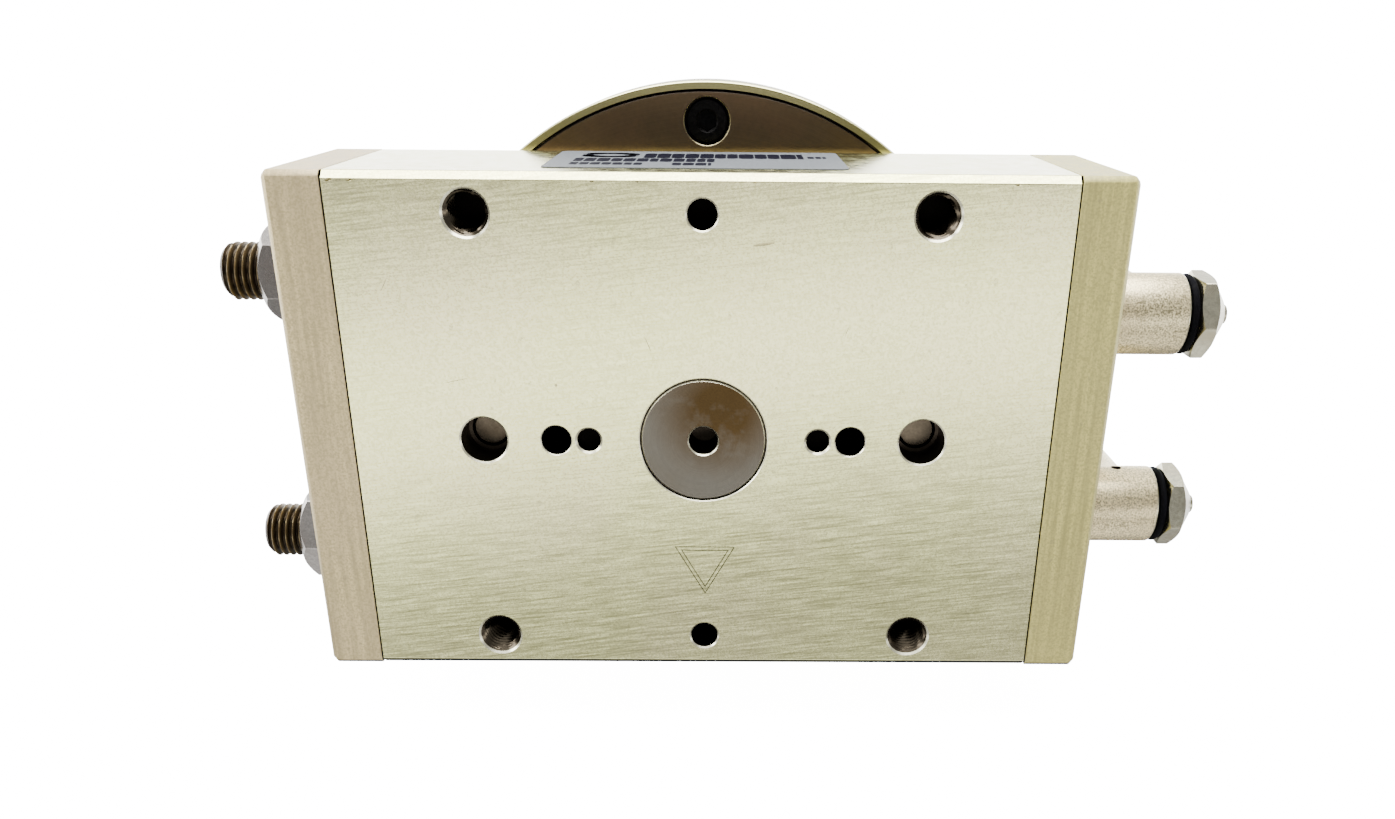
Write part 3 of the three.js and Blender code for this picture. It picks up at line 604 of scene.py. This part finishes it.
def block_piece():
    shape = hull(section(block_low.x, 1.45) + section(block_high.x, 1.45))
    break_edges(shape, 0.12)
    # Painted shade along the bottom chamfers, in place of the contact shadow.
    paint_shade_on_lower_edges(shape, 3)
    tools = []
    for name, middle in openings.items():
        if name.startswith("mounting_hole"):
            tools.append(tapped_hole("y", (middle.x, FRONT, middle.z), 4.1, 3.5, 1.25, 9.6, 1, wall=5))
        elif name.startswith("dowel_hole"):
            tools.append(plain_hole("y", (middle.x, FRONT, middle.z), 3.0, 12, 1, 0.2))
    for side in (-1, 1):
        tools.append(plain_hole("y", (0, FRONT, side * PITCH), 2.85, 9, 1, 0.3))
        tools.append(plain_hole("y", (side * 22.75, FRONT, 0), 2.35, 3.6, 1, 0.4, tip=0.45))
        stepped = [(0, -0.8), (5.8, -0.8), (4.6, 0.3), (4.6, 8), (3.9, 8.1), (3.9, 14.2), (0, 14.2)]
        tools.append(lathe("y", (side * PITCH, FRONT, 0), stepped, slots=(2, 2, 1, 1, 1, 1)))
    tools += engraved_triangle((0.2, -26.4), 7.2, 0.34, 0.14)
    for x, z, length, tilt, width in (
        (11.4, 38.3, 4.2, 8, 0.5), (-10.6, 19.5, 3.4, 112, 0.14), (-59.8, 30.4, 3.0, 60, 0.16),
        (-7.2, -37.6, 3.6, -42, 0.16), (-48.0, 12.0, 5.0, 12, 0.10), (33.0, -12.5, 3.2, 150, 0.12),
        (27.5, 22.0, 2.4, 70, 0.10), (-28.6, 11.2, 0.6, 0, 0.5), (52.4, -20.2, 4.4, 20, 0.10),
    ):
        scratch = lathe("y", (0, 0, 0), [(0, -0.5), (length / 2, -0.5), (length / 2, 0.035), (0, 0.05)], 12,
                        slots=(4, 4, 4))
        scratch.transform(Matrix.Translation((x, FRONT, z)) @ Matrix.Rotation(math.radians(-tilt), 4, "Y")
                          @ Matrix.Diagonal((1, 1, width / length, 1)))
        tools.append(scratch)
    rng = random.Random(7)
    for x, size in ((-67.6, 0.5), (-63.9, 0.4), (-20.0, 0.25), (-11.8, 0.22), (9.6, 0.22), (57.5, 0.35)):
        nick = bmesh.new()
        bmesh.ops.create_icosphere(nick, subdivisions=2, radius=size)
        for vert in nick.verts:
            vert.co *= 1 + rng.uniform(-0.3, 0.3)
        spot = (x, FRONT - size * 0.35, block_high.z - 1.6)
        nick.transform(Matrix.Translation(spot) @ Matrix.Diagonal((1.6, 1, 0.8, 1)))
        for face in nick.faces:
            face.material_index = 4
        tools.append(nick)
    shape = combine(shape, gather(tools))
    lip = 1.2
    reach = SHAFT_REACH + 0.2
    well = [(0, -1), (reach + 1.2, -1), (reach, 0.2), (reach, lip), (18.8, lip), (18.8, 60), (0, 60)]
    shape = combine(shape, lathe("y", (0, FRONT, 0), well, 128, slots=(2, 2, 1, 1, 1, 1)))
    for side in (-1, 1):
        bore = [(0, -90), (16, -90), (16, 90), (0, 90)]
        shape = combine(shape, lathe("x", (0, MIDDLE, side * BORE), bore, 64, slots=(1, 1, 1)))
    darken_joint(shape, (block_low.x, block_high.x))
    # hole_wall, hole_bottom and thread_wall are painted shade in the holes, the bores, the well round the
    # shaft and along the lower edges.
    names = ("body", "hole_wall", "hole_mouth", "hole_bottom", "scratch", "thread_wall")
    looks = [LOOKS[name] for name in names]
    return piece("block", shape, looks, "body_block")


def end_plate(node, look, screws, fittings):
    low, high = box_mm(node)
    outward = 1 if low.x > 0 else -1
    inner, outer = (low.x, high.x) if outward > 0 else (high.x, low.x)
    corners = section(inner, 1.0) + section(outer - outward, 1.0) + section(outer, 0.5, 1.0)
    shape = break_edges(hull(corners), 0.1)
    # Painted shade along the bottom chamfers, in place of the contact shadow.
    paint_shade_on_lower_edges(shape, 3)
    tools = []
    for screw in screws:
        middle = centre_mm(screw)
        pocket = [(0, -1), (5.35, -1), (4.75, 0.25), (4.75, 5.4), (2.8, 5.4), (2.8, 14), (0, 14)]
        pocket = [(r, -d * outward) for r, d in pocket]
        tools.append(lathe("x", (outer, middle.y, middle.z), pocket, 48, slots=(2, 2, 1, 1, 1, 1)))
    for z, reach in fittings:
        hole = [(0, -1), (reach + 1.3, -1), (reach, 0.3), (reach, 14), (0, 14)]
        hole = [(r, -d * outward) for r, d in hole]
        tools.append(lathe("x", (outer, MIDDLE, z), hole, 64, slots=(2, 2, 1, 1)))
    shape = combine(shape, gather(tools))
    darken_joint(shape, (inner,))
    # hole_wall and hole_bottom are painted shade in the pockets, the fitting holes and along the lower edges.
    looks = [look, LOOKS["hole_wall"], LOOKS["hole_mouth"], LOOKS["hole_bottom"]]
    return piece(node + "_look", shape, looks, node)


def cap_screw(node, axis, outward, key):
    """A socket head cap screw that fills its CAD node's box."""
    low, high = box_mm(node)
    middle = (low + high) / 2
    index = "xyz".index(axis)
    face = high[index] if outward > 0 else low[index]
    length = high[index] - low[index]
    sides = [i for i in range(3) if i != index]
    head = max((high - low)[i] for i in sides) / 2
    head_height, shank = head * 1.05, head * 0.58
    origin = Vector(middle)
    origin[index] = face
    profile = [
        (0, 0), (head - 0.55, 0), (head - 0.2, 0.12), (head, 0.5), (head, head_height),
        (shank, head_height), (shank, length - 0.4), (shank - 0.4, length), (0, length),
    ]
    body = lathe(axis, origin, [(r, -d * outward) for r, d in profile], 64)
    mouth = key / 2 / math.cos(math.pi / 6)
    socket = hexagon(axis, origin, key, outward, -outward * head_height * 0.55, 0.6)
    body = combine(body, socket)
    dish = [(0, 0.5), (mouth + 0.6, 0.5), (mouth - 0.35, -0.45), (0, -0.45)]
    body = combine(body, lathe(axis, origin, [(r, d * outward) for r, d in dish], 48))
    return piece(node + "_look", body, [LOOKS["black"]], node)


block_piece()
end_plate("stop_end_plate", LOOKS["stop_plate"], [f"stop_end_screw_{i}" for i in (1, 2, 3, 4)],
          [(side * BORE, 6.2) for _, side in LEVELS])
end_plate("port_end_plate", LOOKS["port_plate"], [f"port_end_screw_{i}" for i in (1, 2, 3, 4)],
          [(side * PORT, 5.5) for _, side in LEVELS])
for i in (1, 2, 3, 4):
    cap_screw(f"stop_end_screw_{i}", "x", -1, 4)
    cap_screw(f"port_end_screw_{i}", "x", 1, 4)
    cap_screw(f"table_screw_{i}", "y", -1, 4)
for node in ("left_passage_plug", "right_passage_plug"):
    low, high = box_mm(node)
    reach = (high.x - low.x) / 2
    middle = centre_mm(node)
    profile = [(0, 0), (reach - 0.3, 0), (reach, 0.35), (reach, high.y - low.y), (0, high.y - low.y)]
    piece(node + "_look", lathe("y", (middle.x, low.y, middle.z), profile, 64), [LOOKS["plug"]], node)

# ---- nameplate -------------------------------------------------------------------------------------


def rounded_plate(x0, x1, y0, y1, z0, z1, corner):
    points = []
    for x, y, start in ((x1 - corner, y1 - corner, 0), (x0 + corner, y1 - corner, 1),
                        (x0 + corner, y0 + corner, 2), (x1 - corner, y0 + corner, 3)):
        for i in range(7):
            angle = math.pi / 2 * (start + i / 6)
            points.append((x + corner * math.cos(angle), y + corner * math.sin(angle)))
    return hull([(x, y, z) for x, y in points for z in (z0, z1)])


def nameplate():
    low, high = box_mm("nameplate")
    top = low.z + 0.12
    piece("nameplate_film", rounded_plate(low.x, high.x, low.y, high.y, low.z - 0.04, top, 1.6),
          [LOOKS["label"]], "nameplate")
    rng = random.Random(3)
    width, depth = high.x - low.x, high.y - low.y
    under, over = top - 0.02, top + 0.03
    marks = []

    def dash_row(start, end, y, height, least, most, gap):
        x = low.x + width * start
        while x < low.x + width * end:
            reach = min(rng.uniform(least, most), low.x + width * end - x)
            if reach > 0.3:
                corner = height * 0.12
                marks.append(rounded_plate(x, x + reach, y, y + height, under, over, corner))
            x += reach + gap

    # Each row's start, end, height up the plate and own height are shares of the plate's size.
    for start, end, place, share, least, most, gap in (
        (0.31, 0.87, 0.56, 0.30, 2.2, 3.2, 0.2), (0.885, 0.95, 0.60, 0.12, 0.9, 1.4, 0.3),
        (0.08, 0.56, 0.34, 0.20, 1.6, 2.6, 0.3),
        (0.08, 0.32, 0.15, 0.13, 1.2, 2.0, 0.3), (0.42, 0.55, 0.14, 0.15, 1.4, 2.2, 0.3),
    ):
        dash_row(start, end, low.y + depth * place, depth * share, least, most, gap)
    centre = Vector((low.x + width * 0.19, low.y + depth * 0.74, top))
    for turn in (0, math.pi):
        arc = []
        for i in range(15):
            angle = turn + 0.35 + 2.2 * i / 14
            arc.append((centre.x + 5.2 * math.cos(angle), centre.y + 3.6 * math.sin(angle)))
        for (xa, ya), (xb, yb) in zip(arc, arc[1:]):
            (left, right), (near, far) = sorted((xa, xb)), sorted((ya, yb))
            marks.append(rounded_plate(left - 0.9, right + 0.9, near - 1.3, far + 1.3, under, over, 0.2))
        x, y = arc[-1]
        head = ((1.7, 0), (-1.7, 0), (0, -2.6 * math.cos(turn)))
        marks.append(hull([(x + dx, y + dy, z) for dx, dy in head for z in (under, over)]))
    piece("nameplate_print", gather(marks), [LOOKS["ink"]], body="housing")


nameplate()

# ---- shaft, flange and table -----------------------------------------------------------------------


def shaft_piece():
    reach = SHAFT_REACH
    length = shaft_high.y - shaft_low.y
    start = shaft_low.y
    rear_shoulder = box_mm("rear_bearing_inner_race")[1].y - start + 0.3
    front_shoulder = box_mm("front_bearing_inner_race")[0].y - start - 0.3
    profile = [
        (0, 9.8), (2.9, 9.2), (2.9, 0.3), (3.15, 0), (reach - 0.35, 0), (reach, 0.35), (reach, rear_shoulder),
        (13.9, rear_shoulder), (13.9, front_shoulder), (reach, front_shoulder), (reach, length), (0, length),
    ]
    slots = (1, 1, 2, 0, 2, 0, 0, 0, 0, 0, 0)
    shape = lathe("y", (0, start, 0), profile, 128, slots=slots)
    teeth = bmesh.new()
    outline = []
    for tooth in range(20):
        for reach_out, lead in ((13.05, -0.135), (14.1, -0.115), (15.0, -0.078), (16.4, -0.035),
                                (16.4, 0.035), (15.0, 0.078), (14.1, 0.115), (13.05, 0.135)):
            angle = 2 * math.pi * tooth / 20 + lead
            outline.append((reach_out * math.sin(angle), reach_out * math.cos(angle)))
    rows = [[teeth.verts.new((x, MIDDLE + y, z)) for x, z in outline] for y in (-9, 9)]
    for j in range(len(outline)):
        k = (j + 1) % len(outline)
        teeth.faces.new((rows[0][j], rows[0][k], rows[1][k], rows[1][j]))
    for row in rows:
        teeth.faces.new(row)
    bmesh.ops.recalc_face_normals(teeth, faces=teeth.faces)
    # hole_wall is painted shade in the centre hole at the shaft's end.
    looks = [LOOKS["shaft"], LOOKS["hole_wall"], LOOKS["hole_mouth"]]
    return piece("shaft", gather([shape, teeth]), looks, "pinion_shaft")


def flange_piece():
    low, high = box_mm("output_flange")
    reach = (high.x - low.x) / 2
    thickness = high.y - low.y
    profile = [(12.85, 0), (reach - 0.3, 0), (reach, 0.3), (reach, thickness), (12.85, thickness)]
    # The outer chamfer and rim take the dark hole-wall look: painted shade in the gap between the flange and
    # the table.
    shape = lathe("y", (0, low.y, 0), profile, 192, slots=(0, 1, 1, 0, 0), closed=True)
    tools = []
    for i in (1, 2, 3, 4):
        middle = centre_mm(f"table_screw_{i}")
        pocket = [(0, -0.6), (5.6, -0.6), (4.9, 0.18), (4.9, 5.6), (2.8, 5.6), (2.8, 12), (0, 12)]
        tools.append(lathe("y", (middle.x, low.y, middle.z), pocket, 64, slots=(2, 2, 1, 1, 1, 1)))
    shape = combine(shape, gather(tools))
    looks = [LOOKS["flange"], LOOKS["hole_wall"], LOOKS["pocket_mouth"]]
    return piece("flange", shape, looks, "output_flange")


def table_piece():
    low, high = box_mm("tooling_table")
    reach = (high.x - low.x) / 2
    inner = (box_mm("output_flange")[1].x - box_mm("output_flange")[0].x) / 2 + 0.4
    thickness = high.y - low.y
    recess = box_mm("output_flange")[1].y - low.y + 0.3
    profile = [
        (0, thickness), (reach - 1.0, thickness), (reach - 0.3, thickness - 0.3), (reach, thickness - 1.0),
        (reach, 0.6), (reach - 0.06, 0.28), (reach - 0.3, 0), (inner, 0), (inner, recess), (0, recess),
    ]
    # The front edge takes rim_edge, a painted highlight, and the recess round the flange takes hole_wall,
    # painted shade in the gap.
    shape = lathe("y", (0, low.y, 0), profile, 192, slots=(0, 0, 0, 0, 2, 2, 0, 1, 1))
    tools = []
    for name, middle in openings.items():
        if name.startswith("tool_hole"):
            tools.append(tapped_hole("y", (middle.x, high.y, middle.z), 3.1, 2.6, 1.0, 4.8, -1, 0.4))
        elif name.startswith("tool_dowel"):
            tools.append(plain_hole("y", (middle.x, high.y, middle.z), 3.0, 4.8, -1, 0.25, 0.1))
    shape = combine(shape, gather(tools))
    looks = [LOOKS["table"], LOOKS["hole_wall"], LOOKS["rim_edge"]]
    return piece("table", shape, looks, "tooling_table")


shaft_piece()
flange_piece()
table_piece()

# ---- stops -----------------------------------------------------------------------------------------


def stop_screw(node):
    low, high = box_mm(node)
    middle = (low + high) / 2
    reach = 5.85
    length = high.x - low.x
    form = thread_form(reach, reach - 0.88, 1.5)
    threaded = 15.0

    def radius(distance, angle):
        limit = reach - 1.25 + distance
        plain = reach - 0.88
        value = form(distance, angle) if distance < threaded else plain
        near_tip = reach - 1.1 + (length - distance)
        return min(value, limit, near_tip)

    distances = steps(0, threaded + 0.6, 1.5 / 10) + [length - 0.8, length]
    shape = surface("x", (low.x, middle.y, middle.z), distances, radius, 64)
    shape = combine(shape, hexagon("x", (low.x, middle.y, middle.z), 6, -1, 5, 1.2))
    dish = [(0, -0.5), (4.3, -0.5), (3.3, 0.4), (0, 0.4)]
    shape = combine(shape, lathe("x", (low.x, middle.y, middle.z), dish, 64))
    return piece(node + "_look", shape, [LOOKS["bronze"]], node, sharp=0.75)


def stop_nut(level):
    node = f"{level}_stop_nut"
    low, high = box_mm(node)
    middle = (low + high) / 2
    flat, thickness = 9.0, high.x - low.x
    corner = flat / math.cos(math.pi / 6) + 0.02
    cone = [(0, 0), (flat * 0.955, 0), (flat * 0.975, 0.06), (corner, 1.65), (corner, thickness - 1.0),
            (flat * 0.97, thickness), (0, thickness)]
    origin = (low.x, middle.y, middle.z)
    bar = break_edges(hexagon("x", origin, 18, 0, thickness, turn=NUT_TURN[level]), 0.12)
    shape = combine(bar, lathe("x", origin, cone, 128), "INTERSECT")
    hole = [(0, -1), (7.3, -1), (6.1, 0.2), (6.1, thickness - 0.3), (7.4, thickness + 1), (0, thickness + 1)]
    shape = combine(shape, lathe("x", origin, hole, 96))
    return piece(node + "_look", shape, [LOOKS["nut"]], node)


def ring_piece(node, look, crown=0.0, segments=96):
    """A flat ring, or one with a crowned rim, that fills its CAD node's box."""
    low, high = box_mm(node)
    middle = (low + high) / 2
    reach, width = (high.z - low.z) / 2, high.x - low.x
    inner = 6.2 if "washer" in node else 5.6
    rim = [(reach - crown * (1 - math.sin(math.pi * t / 8)), width * t / 8) for t in range(9)]
    profile = [(inner, 0)] + rim + [(inner, width)]
    shape = lathe("x", (low.x, middle.y, middle.z), profile, segments, closed=True)
    return piece(node + "_look", shape, [look], node)


for level, _ in LEVELS:
    stop_screw(f"{level}_stop_screw")
    stop_nut(level)
    ring_piece(f"{level}_stop_seal_washer", LOOKS["rubber"], 0.3)

# ---- flow controls ---------------------------------------------------------------------------------


def elbow(level):
    node = f"{level}_elbow_body"
    low, high = box_mm(node)
    axis_z = centre_mm(f"{level}_hollow_bolt").z
    foot, length = low.x, high.x - low.x
    arm_x = centre_mm(f"{level}_release_collet").x
    reach = (high.z - low.z) / 2
    arm = high.y - MIDDLE
    origin = (foot, MIDDLE, axis_z)
    barrel = lathe("x", origin, [
        (0, 0), (reach - 0.45, 0), (reach - 0.1, 0.12), (reach, 0.5), (reach, length - 0.6),
        (reach - 0.12, length - 0.35), (reach - 0.6, length), (0, length),
    ], 96, slots=(1, 1, 1, 0, 1, 1, 1))
    flare = [(6.7, 5.4), (6.55, 7.2), (6.3, 8.6), (6.1, 10.2), (6.0, 12.0)]
    side_arm = lathe("y", (arm_x, MIDDLE, axis_z), [(0, 0), (6.7, 0)] + flare + [
        (6.0, arm - 0.7), (5.85, arm - 0.3), (5.4, arm), (0, arm),
    ], 96, slots=(0,) * 7 + (1, 1, 1))
    shape = combine(barrel, side_arm, "UNION")
    bore = [(0, -1), (6.3, -1), (5.6, 0.2), (5.6, length - 0.3), (6.6, length + 0.9), (0, length + 0.9)]
    shape = combine(shape, lathe("x", origin, bore, 64, slots=(1,) * 5))
    socket = [
        (0, 4), (2.5, 4), (2.5, arm - 9), (5.1, arm - 9), (5.1, arm - 0.2), (5.9, arm + 0.6),
        (0, arm + 0.6),
    ]
    shape = combine(shape, lathe("y", (arm_x, MIDDLE, axis_z), socket, 64, slots=(1,) * 6))
    # The lower elbow's dimple takes the dark hole-wall look: painted shade inside it.
    if level == "lower":
        dimple = bmesh.new()
        bmesh.ops.create_uvsphere(dimple, u_segments=24, v_segments=12, radius=1.2)
        dimple.transform(Matrix.Translation((arm_x - 0.6, MIDDLE + 0.2, axis_z + reach - 0.3)))
        for face in dimple.faces:
            face.material_index = 2
        shape = combine(shape, dimple)
    return piece(f"{level}_elbow", shape, [LOOKS["nickel"], LOOKS["hex"], LOOKS["hole_wall"]], node)


def hollow_bolt(level):
    node = f"{level}_hollow_bolt"
    low, high = box_mm(node)
    origin = (low.x, MIDDLE, centre_mm(node).z)
    ring_end = box_mm(f"{level}_head_ring")[1].x
    head = ring_end + 0.3 - low.x
    flat, thickness = 8.0, 3.9
    corner = flat / math.cos(math.pi / 6)
    drop = (corner - flat * 0.97) * math.tan(math.pi / 6)
    cone = [
        (0, head), (flat * 0.97, head), (corner + 0.02, head + drop),
        (corner + 0.02, head + thickness - drop), (flat * 0.97, head + thickness), (0, head + thickness),
    ]
    bar = hexagon("x", origin, 16, head, head + thickness, turn=BOLT_TURN[level])
    shape = combine(break_edges(bar, 0.12), lathe("x", origin, cone, 128), "INTERSECT")
    end = high.x - low.x
    crown = [(0, head + 2), (7.6, head + 2), (7.6, head + thickness + 0.02), (7.4, head + thickness + 0.1),
             (3.35, end - 0.1), (3.1, end), (0, end)]
    shape = combine(shape, lathe("x", origin, crown, 96), "UNION")
    shank = lathe("x", origin, [(0, 0), (4.8, 0), (5.2, 0.4), (5.2, head + 1), (0, head + 1)], 64)
    shape = combine(shape, shank, "UNION")
    # The bore takes the dark hole-wall look: painted shade inside it.
    bore = [(0, -1), (2.5, -1), (2.5, end - 0.2), (2.9, end + 0.4), (0, end + 0.4)]
    shape = combine(shape, lathe("x", origin, bore, 48, slots=(1,) * 4))
    return piece(f"{level}_bolt", shape, [LOOKS["hex"], LOOKS["hole_wall"]], node)


def needle_piece(level):
    node = f"{level}_needle"
    low, high = box_mm(node)
    origin = (low.x, MIDDLE, centre_mm(node).z)
    end = high.x - low.x
    shape = lathe("x", origin, [(0, 0), (0.6, 0), (2.1, 6), (2.1, end - 0.35), (1.95, end - 0.1), (1.7, end),
                                (0, end)], 64)
    slot = hull([(origin[0] + end + dx, origin[1] + dy, origin[2] + dz)
                 for dx in (-0.7, 1) for dy in (-0.35, 0.35) for dz in (-3, 3)])
    return piece(f"{level}_needle_tip", combine(shape, slot), [LOOKS["hex"]], node)


def collet_piece(level):
    node = f"{level}_release_collet"
    low, high = box_mm(node)
    middle = (low + high) / 2
    length = high.y - low.y
    lip = length - 1.2
    profile = [
        (3.1, 0), (4.7, 0), (4.7, lip), (5.5, lip), (5.6, lip + 0.12), (5.6, lip + 0.8), (5.45, lip + 1.05),
        (5.2, length), (3.5, length), (3.15, length - 0.35),
    ]
    shape = lathe("y", (middle.x, low.y, middle.z), profile, 96, closed=True)
    return piece(f"{level}_collet_ring", shape, [LOOKS["collet"]], node)


for level, _ in LEVELS:
    elbow(level)
    hollow_bolt(level)
    needle_piece(level)
    collet_piece(level)
    ring_piece(f"{level}_base_ring", LOOKS["rubber"], 0.3)
    ring_piece(f"{level}_head_ring", LOOKS["rubber"], 0.35)

for name, node in frame["nodes"].items():
    look = CARRIED.get(slot_of[name])
    if look:
        for i in range(len(node.material_slots)):
            node.material_slots[i].material = LOOKS[look]

# ---- studio ----------------------------------------------------------------------------------------


def studio_floor():
    """A pale floor that sweeps up all round, far outside the part."""
    floor = cad_low[2]
    profile = [
        (0.0, 0.0), (1.2, 0.0), (1.6, 0.03), (1.95, 0.14), (2.25, 0.36), (2.45, 0.7), (2.5, 1.1),
        (2.5, 1.6),
    ]
    bm = bmesh.new()
    rows = []
    for reach, height in profile:
        row = []
        for j in range(96):
            angle = 2 * math.pi * j / 96
            row.append(bm.verts.new((reach * math.cos(angle), reach * math.sin(angle), floor + height)))
        rows.append(row)
        if reach == 0:
            bmesh.ops.remove_doubles(bm, verts=row, dist=1e-6)
            rows[-1] = [v for v in row if v.is_valid] * 96
    for near, far in zip(rows, rows[1:]):
        for j in range(96):
            k = (j + 1) % 96
            bm.faces.new(list(dict.fromkeys((near[j], near[k], far[k], far[j]))))
    for face in bm.faces:
        face.smooth = True
    mesh = bpy.data.meshes.new("studio_floor")
    bm.to_mesh(mesh)
    bm.free()
    look = Look("studio_floor")
    tone = look.span(look.noise(3, detail=2), 0.3, 0.7, 0.86, 0.9)
    paper = look.mix(tone, (0.0, 0.0, 0.0), (1.0, 1.0, 1.0))
    look.set(Base_Color=paper, Roughness=0.9, Emission_Color=(1, 1, 1, 1), Emission_Strength=15.0)
    mesh.materials.append(look.material)
    obj = bpy.data.objects.new("studio_floor", mesh)
    bpy.context.scene.collection.objects.link(obj)
    obj.visible_diffuse = False
    obj.visible_glossy = False
    obj.visible_shadow = False
    obj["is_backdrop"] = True


def area_light(name, place, aim, size, power):
    light = bpy.data.lights.new(name, "AREA")
    light.shape = "RECTANGLE"
    light.size, light.size_y = size
    light.energy = power
    obj = bpy.data.objects.new(name, light)
    obj.location = place
    obj.rotation_euler = (Vector(aim) - Vector(place)).to_track_quat("-Z", "Y").to_euler()
    bpy.context.scene.collection.objects.link(obj)


def world():
    """A soft white room: bright behind the part and low in front of it, dim where the viewer stands."""
    sky = bpy.data.worlds.new("studio")
    sky.use_nodes = True
    bpy.context.scene.world = sky
    nodes, links = sky.node_tree.nodes, sky.node_tree.links
    background = next(n for n in nodes if n.type == "BACKGROUND")
    split = nodes.new("ShaderNodeSeparateXYZ")
    links.new(nodes.new("ShaderNodeTexCoord").outputs["Generated"], split.inputs[0])

    def ramp(value, low, high, stops):
        span = nodes.new("ShaderNodeMapRange")
        span.inputs["From Min"].default_value = low
        span.inputs["From Max"].default_value = high
        links.new(value, span.inputs[0])
        node = nodes.new("ShaderNodeValToRGB")
        links.new(span.outputs[0], node.inputs[0])
        bands = node.color_ramp
        bands.elements[0].position, bands.elements[1].position = 0, 1
        for position, _ in stops[1:-1]:
            bands.elements.new(position)
        for element, (_, tone) in zip(bands.elements, stops):
            element.color = (tone, tone, tone * 0.98, 1)
        return node.outputs[0]

    tilted = nodes.new("ShaderNodeMath")
    tilted.operation = "MULTIPLY_ADD"
    tilted.inputs[1].default_value = -0.12
    links.new(split.outputs["X"], tilted.inputs[0])
    links.new(split.outputs["Z"], tilted.inputs[2])
    front = ramp(tilted.outputs[0], -1, 1, (
        (0.0, 0.25), (0.20, 0.12), (0.27, 0.07), (0.31, 0.09), (0.345, 0.39), (0.37, 0.64), (0.40, 0.60),
        (0.425, 0.24), (0.45, 0.11), (0.50, 0.06), (0.75, 0.06), (1.0, 0.30)))
    back = ramp(split.outputs["Z"], -1, 1, (
        (0.0, 0.01), (0.22, 0.03), (0.36, 0.5), (0.5, 1.0), (0.565, 1.0), (0.61, 0.5), (0.70, 0.3),
        (0.85, 0.3), (1.0, 0.25)))
    behind = ramp(split.outputs["Y"], -0.15, 0.6, ((0.0, 0.0), (1.0, 1.0)))
    blend = nodes.new("ShaderNodeMix")
    blend.data_type = "RGBA"
    links.new(behind, blend.inputs["Factor"])
    links.new(front, blend.inputs[6])
    links.new(back, blend.inputs[7])
    links.new(blend.outputs[2], background.inputs["Color"])
    background.inputs["Strength"].default_value = 8.0


def camera():
    pitch, yaw, roll = (math.radians(a) for a in (24.239, 0.593, 0.541))
    forward = Vector((math.sin(yaw) * math.cos(pitch), math.cos(yaw) * math.cos(pitch), -math.sin(pitch)))
    right = Vector((math.cos(yaw), -math.sin(yaw), 0))
    up = right.cross(forward)
    across = math.cos(roll) * right + math.sin(roll) * up
    upward = -math.sin(roll) * right + math.cos(roll) * up
    data = bpy.data.cameras.new("camera")
    data.lens = 30.07
    data.sensor_width = 36
    data.shift_x = -0.0312
    data.shift_y = 0.1098
    data.clip_start = 0.01
    obj = bpy.data.objects.new("camera", data)
    turn = Matrix((across, upward, -forward)).transposed().to_4x4()
    obj.matrix_world = Matrix.Translation((0.005418, -0.280464, 0.073127)) @ turn
    bpy.context.scene.collection.objects.link(obj)
    bpy.context.scene.camera = obj


studio_floor()
world()
camera()
area_light("top_softbox", (0.0, 0.05, 0.95), (0, 0, 0), (1.0, 0.8), 32)
area_light("left_softbox", (-0.9, -0.3, 0.45), (0, -0.04, 0), (0.5, 0.5), 8)

low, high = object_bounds()
